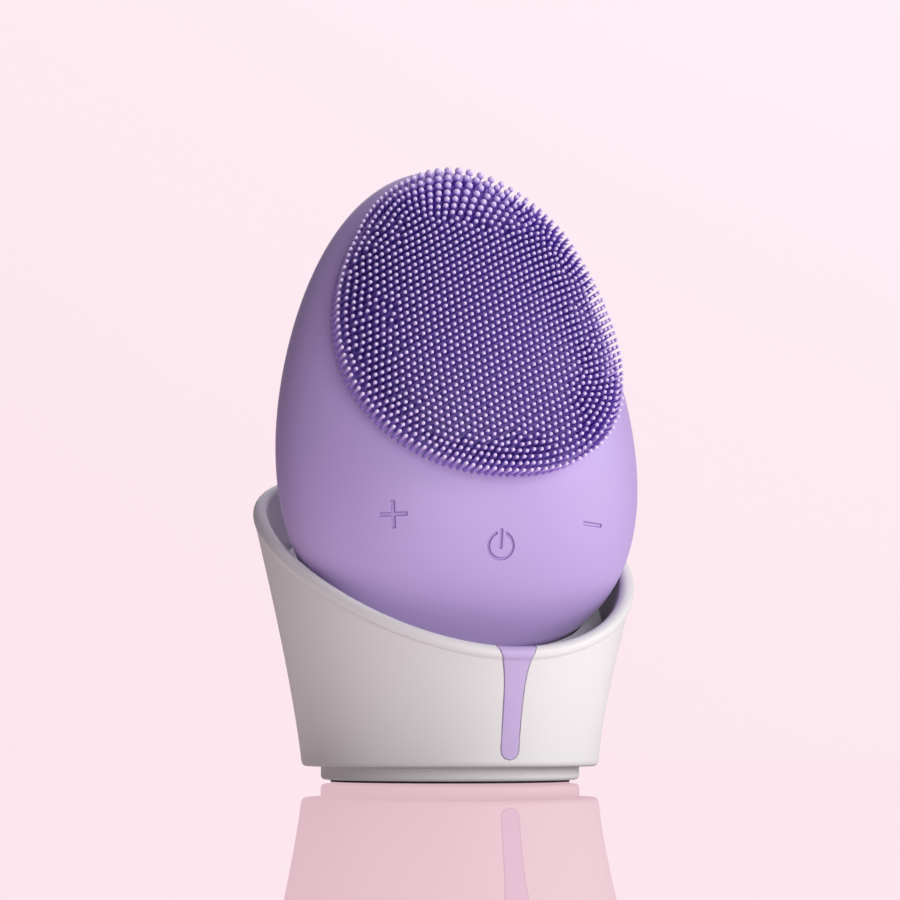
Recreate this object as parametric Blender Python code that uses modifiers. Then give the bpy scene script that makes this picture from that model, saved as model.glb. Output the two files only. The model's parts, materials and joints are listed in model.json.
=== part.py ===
"""Facial cleansing brush with its charging stand.

The brush is an egg-shaped silicone handset that leans back in a flared cup.
Its front carries a field of fine silicone bristles above three soft keys.
Lengths are in metres, +Z is up and the front of the object faces -Y.  The
origin is the centre of the stand's foot, on the surface that it stands on.
"""

import math

import bmesh
import bpy
import numpy as np
from mathutils import Matrix

MM = 0.001
GAP = 0.3 * MM                    # room kept between pieces that touch
SHORTEST_EDGE = 0.02 * MM         # Boolean cuts leave shorter ones, which are closed up

# Stand: the cup, its lip and its foot.
BASE_RADIUS = 27.9 * MM
BASE_HEIGHT = 2.9 * MM
BASE_FILLET = 0.9 * MM
FOOT_RADIUS = 24.3 * MM
CUP_BORE = 24.8 * MM
LIP_RADIUS = 1.4 * MM
RIM_HALF_WIDTH = 36.6 * MM
RIM_HALF_DEPTH = 35.2 * MM
RIM_SHIFT = 3.2 * MM
RIM_HEIGHT = 44.9 * MM            # of the lip's crest above the foot, where y is 0
RIM_SLOPE = 0.575
RIM_BOW = 4.0 * MM                # how far the rim's side view bows below a straight line
FLARE_FRONT = 1.5
FLARE_BACK = 1.06
WALL = 2.0 * LIP_RADIUS
WALL_EXTRA_AT_BASE = 0.4 * MM

# Stand: the inlay down the front of the cup.
INLAY_DEPTH = 1.0 * MM
INLAY_FOOT_Z = 4.3 * MM
INLAY_HALF_WIDTH = 1.68 * MM
INLAY_FLARE = 2.1 * MM            # added to the half width at the lip
INLAY_FLARE_REACH = 3.4 * MM      # how fast that flare dies away downwards

# Stand: the cradle inside the cup.
DECK_DROP = 9.0 * MM              # below the lip's crest
DECK_THICKNESS = 2.0 * MM
POCKET_CLEARANCE = 0.5 * MM
POCKET_WALL = 2.1 * MM
POST_RADIUS = 2.6 * MM
POST_CIRCLE = 19.0 * MM
POST_ANGLES = (30.0, 150.0, 270.0)
COVER_TOP = 5.0 * MM

# Brush: the egg, in its own frame with -Y to the front and +Z along its length.
EGG_CENTRE = (0.0, -3.48 * MM, 70.0 * MM)
LEAN = math.radians(8.15)
EGG_HALF_WIDTH = 35.27 * MM
EGG_HALF_LENGTH = 48.14 * MM
EGG_FRONT_DEPTH = 18.88 * MM
EGG_BACK_DEPTH = 19.8 * MM
WIDTH_TAPER = -0.197              # narrower towards the top
WIDTH_SWELL = 0.111
FRONT_TAPER = -0.216
BACK_TAPER = -0.122

# Brush: layers of the handset, as insets from the egg's surface.
SLEEVE_THICKNESS = 1.8 * MM
SHELL_OUTSIDE = 2.5 * MM
SHELL_INSIDE = 4.1 * MM
INNER_CLEARANCE = 4.6 * MM
SPLIT_HALF_GAP = 0.6 * MM         # from the split plane to each half shell

# Brush: the bristle pad, seen from the front.
PAD_CENTRE_Z = 8.5 * MM
PAD_HALF_WIDTH = 28.2 * MM
PAD_UP = 37.6 * MM
PAD_DOWN = 25.6 * MM
PAD_POWER_UP = 1.77
PAD_POWER_DOWN = 2.1
BRISTLE_LENGTH = 3.3 * MM

# Brush: keys, switches and board, as distances forward of the split plane.
SIDE_KEY = (19.8 * MM, -24.9 * MM)
POWER_KEY = (0.0, -30.0 * MM)
KEY_RADIUS = 4.7 * MM
STEM_RADIUS = 1.5 * MM
PLUNGER_RADIUS = 0.9 * MM
BOARD_BACK = 4.5 * MM
BOARD_FRONT = 5.5 * MM
SWITCH_TOP = 7.6 * MM
PLUNGER_FOOT = 6.8 * MM
PLUNGER_TOP = 8.6 * MM
BOSSES = ((26.0 * MM, 12.0 * MM), (26.3 * MM, -16.0 * MM))

COLOURS = {
    "lilac_silicone": ((0.43, 0.29, 0.66), 0.45, 0.0),
    "purple_silicone": ((0.22, 0.12, 0.55), 0.4, 0.0),
    "white_shell": ((0.82, 0.81, 0.81), 0.4, 0.0),
    "lilac_inlay": ((0.46, 0.34, 0.66), 0.35, 0.0),
    "grey_plastic": ((0.5, 0.5, 0.52), 0.5, 0.0),
    "dark_rubber": ((0.05, 0.05, 0.055), 0.8, 0.0),
    "green_board": ((0.03, 0.2, 0.1), 0.5, 0.0),
    "steel": ((0.6, 0.6, 0.62), 0.35, 1.0),
    "brass": ((0.7, 0.5, 0.25), 0.4, 1.0),
    "copper": ((0.8, 0.4, 0.22), 0.4, 1.0),
    "ferrite": ((0.08, 0.08, 0.09), 0.6, 0.0),
    "battery_film": ((0.25, 0.32, 0.45), 0.45, 0.0),
}


def clear_scene():
    for item in list(bpy.data.objects):
        bpy.data.objects.remove(item, do_unlink=True)


def new_collection(name):
    collection = bpy.data.collections.new(name)
    bpy.context.scene.collection.children.link(collection)
    return collection


def material_for(name, finish):
    """A Principled material of the piece's own, in one of the finishes above."""
    colour, roughness, metallic = COLOURS[finish]
    material = bpy.data.materials.new(name + "_finish")
    material.use_nodes = True
    shader = material.node_tree.nodes["Principled BSDF"]
    shader.inputs["Base Color"].default_value = (*colour, 1.0)
    shader.inputs["Roughness"].default_value = roughness
    shader.inputs["Metallic"].default_value = metallic
    material.diffuse_color = (*colour, 1.0)
    return material


def place(item, collection, parent=None):
    for other in list(item.users_collection):
        other.objects.unlink(item)
    collection.objects.link(item)
    item.parent = parent
    return item


def mesh_object(name, build, parent=None):
    """An object whose mesh is filled by build(bm)."""
    bm = bmesh.new()
    build(bm)
    bmesh.ops.recalc_face_normals(bm, faces=bm.faces)
    mesh = bpy.data.meshes.new(name)
    bm.to_mesh(mesh)
    bm.free()
    return place(bpy.data.objects.new(name, mesh), CUTTERS, parent)


def finish_piece(item, finish, smooth_angle=35.0):
    """Move a piece into the object's collection and give it its finish."""
    place(item, PIECES, item.parent)
    if item.modifiers:
        weld = item.modifiers.new("close_tiny_edges", "WELD")
        weld.mode = "CONNECTED"
        weld.merge_threshold = SHORTEST_EDGE
    item.data.materials.clear()
    item.data.materials.append(material_for(item.name, finish))
    item.data.shade_smooth()
    item.data.set_sharp_from_angle(angle=math.radians(smooth_angle))
    return item


def hide_cutter(item):
    item.hide_render = True
    item.display_type = "WIRE"
    return item


def combine(item, cutter, operation):
    """One live Boolean modifier; the cutter stays in the cutters' collection."""
    hide_cutter(cutter)
    modifier = item.modifiers.new(operation.lower() + "_" + cutter.name, "BOOLEAN")
    modifier.operation = operation
    modifier.solver = "EXACT"
    modifier.object = cutter


def cut(item, *cutters):
    for cutter in cutters:
        combine(item, cutter, "DIFFERENCE")
    return item


def join(item, *others):
    for other in others:
        combine(item, other, "UNION")
    return item


def keep_inside(item, *bounds):
    for bound in bounds:
        combine(item, bound, "INTERSECT")
    return item


# ---------------------------------------------------------------- plain shapes

def box(name, low, high, parent=None, bevel=0.0):
    low, high = np.array(low), np.array(high)

    def build(bm):
        bmesh.ops.create_cube(bm, size=1.0)
        bmesh.ops.scale(bm, vec=high - low, verts=bm.verts)
        bmesh.ops.translate(bm, vec=(low + high) / 2, verts=bm.verts)

    item = mesh_object(name, build, parent)
    if bevel:
        modifier = item.modifiers.new("edges", "BEVEL")
        modifier.width = bevel
        modifier.segments = 2
    return item


def cylinder(name, radius, start, end, centre=(0.0, 0.0), axis="Z", segments=24, parent=None):
    """A cylinder along Z or Y from start to end; centre gives the other two coordinates."""

    def build(bm):
        bmesh.ops.create_cone(bm, cap_ends=True, segments=segments, radius1=radius,
                              radius2=radius, depth=end - start)
        middle = (start + end) / 2
        if axis == "Y":
            bmesh.ops.rotate(bm, matrix=Matrix.Rotation(math.pi / 2, 3, "X"), verts=bm.verts)
            bmesh.ops.translate(bm, vec=(centre[0], middle, centre[1]), verts=bm.verts)
        else:
            bmesh.ops.translate(bm, vec=(centre[0], centre[1], middle), verts=bm.verts)

    return mesh_object(name, build, parent)


def loft(name, rings, closed_loop=False, parent=None):
    """Join rings of points; the ends are capped, or joined to each other in a closed loop."""

    def build(bm):
        rows = [[bm.verts.new(point) for point in ring] for ring in rings]
        count = len(rows[0])
        pairs = list(zip(rows, rows[1:] + rows[:1])) if closed_loop else list(zip(rows, rows[1:]))
        for lower, upper in pairs:
            for i in range(count):
                j = (i + 1) % count
                bm.faces.new((lower[i], lower[j], upper[j], upper[i]))
        if not closed_loop:
            bm.faces.new(rows[0])
            bm.faces.new(rows[-1])

    return mesh_object(name, build, parent)


def oval_ring(name, outer, inner, low, high, centre, parent=None, segments=24):
    """A flat oval ring: outer and inner are (half width, half depth)."""
    angle = np.linspace(0, 2 * math.pi, segments, endpoint=False)

    def oval(half, z):
        return np.stack([centre[0] + half[0] * np.cos(angle),
                         centre[1] + half[1] * np.sin(angle), np.full(segments, z)], axis=1)

    rings = [oval(outer, low), oval(outer, high), oval(inner, high), oval(inner, low)]
    return loft(name, rings, closed_loop=True, parent=parent)


def oval_plate(name, half, low, high, centre, parent=None, segments=24):
    angle = np.linspace(0, 2 * math.pi, segments, endpoint=False)
    rings = [np.stack([centre[0] + half[0] * np.cos(angle),
                       centre[1] + half[1] * np.sin(angle), np.full(segments, z)], axis=1)
             for z in (low, high)]
    return loft(name, rings, parent=parent)


def two_sided_sheet(name, low, high, parent=None):
    """A closed solid between two polar grids of points, each (circles, spokes, 3).

    The first circle of each grid is its middle, where all spokes meet.
    """
    circles, spokes = low.shape[:2]

    def build(bm):
        faces = []
        for grid in (low, high):
            middle = bm.verts.new(grid[0, 0])
            rows = [[bm.verts.new(point) for point in ring] for ring in grid[1:]]
            faces.append(rows[-1])
            for i in range(spokes):
                j = (i + 1) % spokes
                bm.faces.new((middle, rows[0][i], rows[0][j]))
                for inner, outer in zip(rows, rows[1:]):
                    bm.faces.new((inner[i], outer[i], outer[j], inner[j]))
        for i in range(spokes):
            j = (i + 1) % spokes
            bm.faces.new((faces[0][i], faces[1][i], faces[1][j], faces[0][j]))

    return mesh_object(name, build, parent)


def turned_piece(name, profile, location, segments=16, parent=None):
    """A turned solid about Z: profile runs (radius, z) from the top of the axis to its bottom."""

    def build(bm):
        verts = [bm.verts.new((radius, 0.0, z)) for radius, z in profile]
        for a, b in zip(verts, verts[1:]):
            bm.edges.new((a, b))

    bm = bmesh.new()
    build(bm)
    mesh = bpy.data.meshes.new(name)
    bm.to_mesh(mesh)
    bm.free()
    item = place(bpy.data.objects.new(name, mesh), CUTTERS, parent)
    item.location = location
    screw = item.modifiers.new("turn", "SCREW")
    screw.steps = segments
    screw.render_steps = segments
    screw.use_merge_vertices = True
    screw.merge_threshold = 0.00001
    screw.use_smooth_shade = True
    return item


# ------------------------------------------------------------------ the stand

def rim_height(y):
    """Height of the lip's crest: a sloping line with a slight bow, seen from the side."""
    return RIM_HEIGHT + RIM_SLOPE * y - RIM_BOW * (y / RIM_HALF_DEPTH) ** 2


def lip_centre(angle):
    """Middle of the lip's round section at an angle round the cup."""
    x = (RIM_HALF_WIDTH - LIP_RADIUS) * np.cos(angle)
    y = (RIM_HALF_DEPTH - LIP_RADIUS) * np.sin(angle) + RIM_SHIFT
    return x, y, rim_height(y) - LIP_RADIUS


def wall_point(angle, rise, inset):
    """A point of the cup's wall: rise runs from 0 at the base to 1 at the lip.

    The wall goes from the base circle to the sloping oval rim with
    rise ** power, and the power changes from the front to the back.
    """
    lip_x, lip_y, lip_z = lip_centre(angle)
    front = 0.5 - 0.5 * np.sin(angle)
    power = FLARE_BACK + (FLARE_FRONT - FLARE_BACK) * front
    share = rise ** power
    ring_x = RIM_HALF_WIDTH * np.cos(angle)
    ring_y = RIM_HALF_DEPTH * np.sin(angle) + RIM_SHIFT
    x = BASE_RADIUS * np.cos(angle) * (1 - share) + ring_x * share
    y = BASE_RADIUS * np.sin(angle) * (1 - share) + ring_y * share
    z = BASE_HEIGHT + (lip_z - BASE_HEIGHT) * rise
    return np.stack([x - inset * np.cos(angle), y - inset * np.sin(angle), z + 0 * x], axis=-1)


def lip_point(angle, turn, radius):
    """A point of the lip's round section: turn 0 faces out and turn pi faces in."""
    x, y, z = lip_centre(angle)
    out = radius * np.cos(turn)
    return np.stack([x + out * np.cos(angle), y + out * np.sin(angle),
                     z + radius * np.sin(turn)], axis=-1)


def inner_inset(rise, gap=0.0):
    return WALL + WALL_EXTRA_AT_BASE * (1 - rise) + gap


def make_cup():
    angle = np.linspace(0, 2 * math.pi, 52, endpoint=False)
    rises = np.array([0.15, 0.35, 0.55, 0.78, 1.0])
    rings = []
    for turn in np.radians([-90.0, -45.0, 0.0]):
        ring = wall_point(angle, 0.0, BASE_FILLET * (1 - math.cos(turn)))
        ring[:, 2] += BASE_FILLET * (1 + math.sin(turn))
        rings.append(ring)
    rings += [wall_point(angle, rise, 0.0) for rise in rises]
    rings += [lip_point(angle, turn, LIP_RADIUS) for turn in np.radians([35, 70, 110, 145])]
    rings += [wall_point(angle, rise, inner_inset(rise)) for rise in rises[::-1]]
    for height in (BASE_HEIGHT + 3.0 * MM, BASE_HEIGHT):
        rings.append(np.stack([CUP_BORE * np.cos(angle), CUP_BORE * np.sin(angle),
                               np.full(len(angle), height)], axis=1))
    cup = loft("cup_shell", rings, closed_loop=True)
    slot = box("usb_slot", (-4.9 * MM, 22.0 * MM, 6.4 * MM), (4.9 * MM, 32.0 * MM, 10.4 * MM))
    cut(cup, make_inlay_solid("inlay_groove", GAP, -0.6 * MM, INLAY_DEPTH + GAP), slot)
    return finish_piece(cup, "white_shell")


def inlay_half_width(z, crest):
    return INLAY_HALF_WIDTH + INLAY_FLARE * np.exp(-np.maximum(crest - z, 0) / INLAY_FLARE_REACH)


def make_inlay_solid(name, grow, outside, inside):
    """The inlay between two depths under the cup's skin, grown sideways by grow.

    Its outline follows the front wall up and over the lip's crest.  The lower
    end is round: its last rows close in along a half circle.
    """
    front = -math.pi / 2
    crest = float(rim_height(lip_centre(np.array(front))[1]))
    round_part = 1 - np.cos(np.radians([10, 30, 60, 90]))
    half_low = INLAY_HALF_WIDTH + grow
    rows = []
    low_end = INLAY_FOOT_Z - grow
    for share in round_part:
        rows.append((low_end + half_low * share,
                     half_low * math.sqrt(max(1 - (1 - share) ** 2, 0.0))))
    lip_z = float(lip_centre(np.array(front))[2])
    for share in (0.35, 0.55, 0.7, 0.82, 0.92, 1.0):
        z = rows[3][0] + (lip_z - rows[3][0]) * share
        rows.append((z, float(inlay_half_width(z, crest)) + grow))
    across = np.linspace(-1, 1, 7)

    def section(depth):
        grid = []
        for z, half in rows:
            rise = (z - BASE_HEIGHT) / (lip_z - BASE_HEIGHT)
            spread = half * across / (RIM_HALF_WIDTH * rise + BASE_RADIUS * (1 - rise))
            grid.append(wall_point(front + spread, max(rise, 0.0), depth))
        half = rows[-1][1]
        spread = half * across / RIM_HALF_WIDTH
        last = math.radians(125) + grow / LIP_RADIUS
        for turn in np.linspace(0, last, 6)[1:]:
            grid.append(lip_point(front + spread, turn, LIP_RADIUS - depth))
        return np.array(grid)

    def build(bm):
        sheets = []
        for depth in (outside, inside):
            sheets.append([[bm.verts.new(point) for point in row] for row in section(depth)])
        tall, wide = len(sheets[0]), len(sheets[0][0])
        for sheet in sheets:
            for i in range(tall - 1):
                for j in range(wide - 1):
                    bm.faces.new((sheet[i][j], sheet[i][j + 1], sheet[i + 1][j + 1], sheet[i + 1][j]))
        edge = [(0, j) for j in range(wide)] + [(i, wide - 1) for i in range(1, tall)]
        edge += [(tall - 1, j) for j in range(wide - 2, -1, -1)] + [(i, 0) for i in range(tall - 2, 0, -1)]
        for (i, j), (k, m) in zip(edge, edge[1:] + edge[:1]):
            bm.faces.new((sheets[0][i][j], sheets[1][i][j], sheets[1][k][m], sheets[0][k][m]))

    return mesh_object(name, build)


def deck_height(y):
    return rim_height(y) - LIP_RADIUS - DECK_DROP


def deck_edge(angle):
    """Where the deck's underside meets the cup's wall, less the gap, found by iteration."""
    rise = np.full(angle.shape, 0.8)
    for _ in range(12):
        point = wall_point(angle, rise, inner_inset(rise, GAP))
        height = deck_height(point[..., 1]) - DECK_THICKNESS
        rise = (height - BASE_HEIGHT) / (lip_centre(angle)[2] - BASE_HEIGHT)
    return point[..., 0], point[..., 1]


def deck_sheet(name, low, high, edge):
    """A slab that follows the rim's slope, low and high measured from the deck's top."""
    shares = np.linspace(0, 1, 5)[:, None]
    x, y = shares * edge[0], shares * edge[1]
    top = deck_height(y)
    return two_sided_sheet(name, np.stack([x, y, top + low], axis=-1),
                           np.stack([x, y, top + high], axis=-1))


def make_cradle():
    """A sloping deck with an egg-shaped pocket, on three posts that take the base screws."""
    angle = np.linspace(0, 2 * math.pi, 45, endpoint=False)
    wide = 60 * MM
    cradle = deck_sheet("cradle_insert", -DECK_THICKNESS, 0.0, deck_edge(angle))
    bowl = egg_solid("pocket_bowl", -(POCKET_CLEARANCE + POCKET_WALL), 28, 16)
    cut(bowl, deck_sheet("above_deck", -DECK_THICKNESS / 2, 120 * MM,
                         (wide * np.cos(angle), wide * np.sin(angle))))
    join(cradle, bowl)
    posts = []
    for number, degrees in enumerate(POST_ANGLES, start=1):
        x = POST_CIRCLE * math.cos(math.radians(degrees))
        y = POST_CIRCLE * math.sin(math.radians(degrees))
        top = deck_height(y) - DECK_THICKNESS / 2
        posts.append(cylinder(f"post_{number}", POST_RADIUS, COVER_TOP + GAP, top, (x, y), segments=12))
    join(cradle, *posts)
    cut(cradle, egg_solid("pocket", -POCKET_CLEARANCE, 34, 20))
    for number, degrees in enumerate(POST_ANGLES, start=1):
        x = POST_CIRCLE * math.cos(math.radians(degrees))
        y = POST_CIRCLE * math.sin(math.radians(degrees))
        cut(cradle, cylinder(f"pilot_{number}", 1.3 * MM, 4.0 * MM, 12.0 * MM, (x, y), segments=12))
    return finish_piece(cradle, "white_shell")


def make_base():
    """The round foot with its recess for the pad, and the screws that hold it."""
    recess = 22.9 * MM
    profile = [(0.0, COVER_TOP), (FOOT_RADIUS, COVER_TOP), (FOOT_RADIUS, 1.2 * MM),
               (FOOT_RADIUS - 0.3 * MM, 0.7 * MM), (FOOT_RADIUS - 0.8 * MM, 0.4 * MM),
               (recess, 0.4 * MM), (recess, 1.1 * MM), (0.0, 1.1 * MM)]
    cover = turned_piece("base_cover", profile, (0, 0, 0), segments=48)
    for number, degrees in enumerate(POST_ANGLES, start=1):
        x = POST_CIRCLE * math.cos(math.radians(degrees))
        y = POST_CIRCLE * math.sin(math.radians(degrees))
        cut(cover, cylinder(f"base_sink_{number}", 2.5 * MM, 0.5 * MM, 2.8 * MM, (x, y), segments=16),
            cylinder(f"base_hole_{number}", 1.3 * MM, 0.5 * MM, 6.0 * MM, (x, y), segments=16))
        make_screw(f"base_screw_{number}", (x, y, 1.3 * MM), 2.2 * MM, 1.2 * MM, 1.0 * MM, 9.7 * MM)
    finish_piece(cover, "white_shell")
    pad = turned_piece("antislip_pad", [(0.0, 0.8 * MM), (22.5 * MM, 0.8 * MM), (22.5 * MM, 0.0),
                                        (0.0, 0.0)], (0, 0, 0), segments=48)
    finish_piece(pad, "dark_rubber")


def make_screw(name, location, head_radius, head_height, shank_radius, length, parent=None):
    """A pan-head screw that stands on its head, its point up."""
    profile = [(0.0, length), (shank_radius, length - 0.8 * MM), (shank_radius, head_height),
               (head_radius, head_height), (head_radius, 0.3 * MM), (head_radius - 0.3 * MM, 0.0),
               (0.0, 0.0)]
    screw = turned_piece(name, profile, location, segments=12, parent=parent)
    return finish_piece(screw, "steel")


def make_stand_electronics():
    board = box("stand_board", (-12 * MM, -12 * MM, 5.3 * MM), (12 * MM, 20.5 * MM, 6.5 * MM))
    finish_piece(board, "green_board")
    post = cylinder("coil_post", 4.0 * MM, 6.8 * MM, 15.3 * MM, (0, -8.5 * MM))
    finish_piece(post, "grey_plastic")
    ferrite = oval_plate("stand_ferrite", (11 * MM, 7 * MM), 15.6 * MM, 16.6 * MM, (0, -8.5 * MM))
    finish_piece(ferrite, "ferrite")
    coil = oval_ring("charging_coil", (10.6 * MM, 6.6 * MM), (4.6 * MM, 2.4 * MM),
                     16.9 * MM, 18.3 * MM, (0, -8.5 * MM))
    finish_piece(coil, "copper")
    socket = box("usb_socket", (-4.45 * MM, 18.5 * MM, 6.8 * MM), (4.45 * MM, 27.0 * MM, 10.0 * MM))
    mouth = box("usb_mouth", (-4.1 * MM, 20.0 * MM, 7.15 * MM), (4.1 * MM, 28.0 * MM, 9.65 * MM))
    tongue = box("usb_tongue", (-3.3 * MM, 19.5 * MM, 8.1 * MM), (3.3 * MM, 25.5 * MM, 8.7 * MM))
    cut(socket, mouth)
    join(socket, tongue)
    finish_piece(socket, "steel")


# ------------------------------------------------------------------ the brush

def egg_surface(direction, inset):
    """Points of the egg for unit vectors, as (n, 3).

    z is the half length times the vector's z.  x and y are half sizes that
    change along z, narrower at the top and wider at the bottom, times the
    vector's x and y.  An inset takes the same length off all the half sizes.
    """
    along = direction[..., 2]
    width = (EGG_HALF_WIDTH - inset) * (1 + WIDTH_TAPER * along + WIDTH_SWELL * along ** 2)
    front = (EGG_FRONT_DEPTH - inset) * (1 + FRONT_TAPER * along)
    back = (EGG_BACK_DEPTH - inset) * (1 + BACK_TAPER * along)
    depth = np.where(direction[..., 1] < 0, front, back)
    return np.stack([direction[..., 0] * width, direction[..., 1] * depth,
                     (EGG_HALF_LENGTH - inset) * along], axis=-1)


def egg_solid(name, inset, segments, rings):
    """The egg as a sphere primitive whose points are moved to egg_surface."""

    def build(bm):
        bmesh.ops.create_uvsphere(bm, u_segments=segments, v_segments=rings, radius=1.0)
        points = np.array([vert.co[:] for vert in bm.verts])
        for vert, point in zip(bm.verts, egg_surface(points, inset)):
            vert.co = point

    return mesh_object(name, build, BRUSH_FRAME)


def surface_direction(x, z):
    """The unit vector whose point of the egg's front has these x and z."""
    along = z / EGG_HALF_LENGTH
    side = x / (EGG_HALF_WIDTH * (1 + WIDTH_TAPER * along + WIDTH_SWELL * along ** 2))
    forward = np.sqrt(np.maximum(1 - along ** 2 - side ** 2, 0.0))
    return np.stack([side, -forward, along], axis=-1)


def surface_normal(direction):
    """Outward unit normals of the egg's front, from the gradient of its equation."""
    along = direction[..., 2]
    width = EGG_HALF_WIDTH * (1 + WIDTH_TAPER * along + WIDTH_SWELL * along ** 2)
    depth = EGG_FRONT_DEPTH * (1 + FRONT_TAPER * along)
    width_slope = EGG_HALF_WIDTH * (WIDTH_TAPER + 2 * WIDTH_SWELL * along)
    depth_slope = EGG_FRONT_DEPTH * FRONT_TAPER
    x, y = direction[..., 0] * width, direction[..., 1] * depth
    gradient = np.stack([
        x / width ** 2,
        y / depth ** 2,
        (along - x ** 2 * width_slope / width ** 3 - y ** 2 * depth_slope / depth ** 3)
        / EGG_HALF_LENGTH], axis=-1)
    return gradient / np.linalg.norm(gradient, axis=-1, keepdims=True)


def pad_outline(angle, grow):
    """The pad's edge, seen from the front, as x and z: two halves of unlike ovals."""
    up = np.sin(angle) > 0
    power = np.where(up, PAD_POWER_UP, PAD_POWER_DOWN)
    height = np.where(up, PAD_UP, PAD_DOWN) + grow
    c, s = np.abs(np.cos(angle)), np.abs(np.sin(angle))
    reach = (c ** power + s ** power) ** (-1 / power)
    x = (PAD_HALF_WIDTH + grow) * reach * np.cos(angle)
    z = PAD_CENTRE_Z + height * reach * np.sin(angle)
    return x, z


def pad_directions(grow, spokes, circles):
    """Unit vectors of a polar grid over the pad, as (circles, spokes, 3)."""
    angle = np.linspace(0, 2 * math.pi, spokes, endpoint=False)
    edge_x, edge_z = pad_outline(angle, grow)
    share = np.linspace(0, 1, circles)[:, None]
    return surface_direction(share * edge_x, PAD_CENTRE_Z + share * (edge_z - PAD_CENTRE_Z))


def make_pad():
    """The pad's base plate, and the plain solid that holds the place of the bristles."""
    grid = pad_directions(0.0, 32, 6)
    plate = two_sided_sheet("bristle_pad", egg_surface(grid, SLEEVE_THICKNESS),
                            egg_surface(grid, 0.0), BRUSH_FRAME)
    finish_piece(plate, "purple_silicone", 50)
    grid = pad_directions(0.4 * MM, 32, 6)
    lean = surface_normal(grid) + np.array([0.0, -1.0, 0.0])
    lean /= np.linalg.norm(lean, axis=-1, keepdims=True)
    skin = egg_surface(grid, 0.0)
    field = two_sided_sheet("bristle_field", skin + GAP * surface_normal(grid),
                            skin + BRISTLE_LENGTH * lean, BRUSH_FRAME)
    finish_piece(field, "purple_silicone", 50)


def make_sleeve():
    """The silicone skin: an egg shell with the pad's opening and three key holes."""
    sleeve = egg_solid("silicone_sleeve", 0.0, 42, 24)
    hollow = egg_solid("sleeve_hollow", SLEEVE_THICKNESS, 28, 16)
    grid = pad_directions(GAP, 32, 5)
    window = two_sided_sheet("pad_window", egg_surface(grid, 3.0 * MM), egg_surface(grid, -3.0 * MM),
                             BRUSH_FRAME)
    cut(sleeve, hollow, window)
    for name, (x, z) in KEYS.items():
        cut(sleeve, cylinder(name + "_key_hole", KEY_RADIUS + GAP, -30 * MM, -4 * MM, (x, z), "Y",
                             20, BRUSH_FRAME))
    finish_piece(sleeve, "lilac_silicone", 50)


def half_shell(name, side):
    """One half of the inner casing: side is -1 for the front and +1 for the rear."""
    shell = egg_solid(name, SHELL_OUTSIDE, 26, 16)
    hollow = egg_solid(name + "_hollow", SHELL_INSIDE, 22, 14)
    far = 40 * MM
    ends = sorted((side * SPLIT_HALF_GAP, -side * far))
    other_half = box(name + "_other_half", (-far, ends[0], -60 * MM), (far, ends[1], 60 * MM), BRUSH_FRAME)
    cut(shell, hollow, other_half)
    for number, (x, z) in enumerate([(s * x, z) for x, z in BOSSES for s in (-1, 1)], start=1):
        ends = sorted((side * SPLIT_HALF_GAP, side * 22 * MM))
        boss = cylinder(f"{name}_boss_{number}", 2.6 * MM, *ends, (x, z), "Y", 12, BRUSH_FRAME)
        keep_inside(boss, egg_solid(f"{name}_boss_end_{number}", 3.3 * MM, 24, 14))
        join(shell, boss)
        if side < 0:
            cut(shell, cylinder(f"{name}_thread_{number}", 1.1 * MM, -6.8 * MM, 0.0, (x, z), "Y",
                                12, BRUSH_FRAME))
        else:
            cut(shell, cylinder(f"{name}_hole_{number}", 1.1 * MM, 0.0, 6 * MM, (x, z), "Y",
                                12, BRUSH_FRAME),
                cylinder(f"{name}_sink_{number}", 2.0 * MM, 4 * MM, 25 * MM, (x, z), "Y",
                         12, BRUSH_FRAME))
    return shell


def make_casing():
    """Front and rear halves of the inner casing, their seal and their four screws."""
    front = half_shell("front_shell", -1)
    for name, (x, z) in KEYS.items():
        cut(front, cylinder(name + "_stem_hole", STEM_RADIUS + 2 * GAP, -30 * MM, -4 * MM, (x, z), "Y",
                            16, BRUSH_FRAME))
    finish_piece(front, "white_shell")
    finish_piece(half_shell("rear_shell", 1), "white_shell")

    seal = egg_solid("shell_seal", SHELL_OUTSIDE + 0.2 * MM, 28, 16)
    slab = box("seal_slab", (-50 * MM, -GAP, -60 * MM), (50 * MM, GAP, 60 * MM), BRUSH_FRAME)
    keep_inside(seal, slab)
    cut(seal, egg_solid("seal_hollow", SHELL_INSIDE - 0.5 * MM, 28, 16))
    finish_piece(seal, "dark_rubber")

    for number, (x, z) in enumerate([(s * x, z) for x, z in BOSSES for s in (-1, 1)], start=1):
        screw = make_screw(f"shell_screw_{number}", (x, 5.5 * MM, z), 1.6 * MM, 1.2 * MM, 0.8 * MM,
                           11.0 * MM, BRUSH_FRAME)
        screw.rotation_euler = (math.pi / 2, 0, 0)


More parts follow.
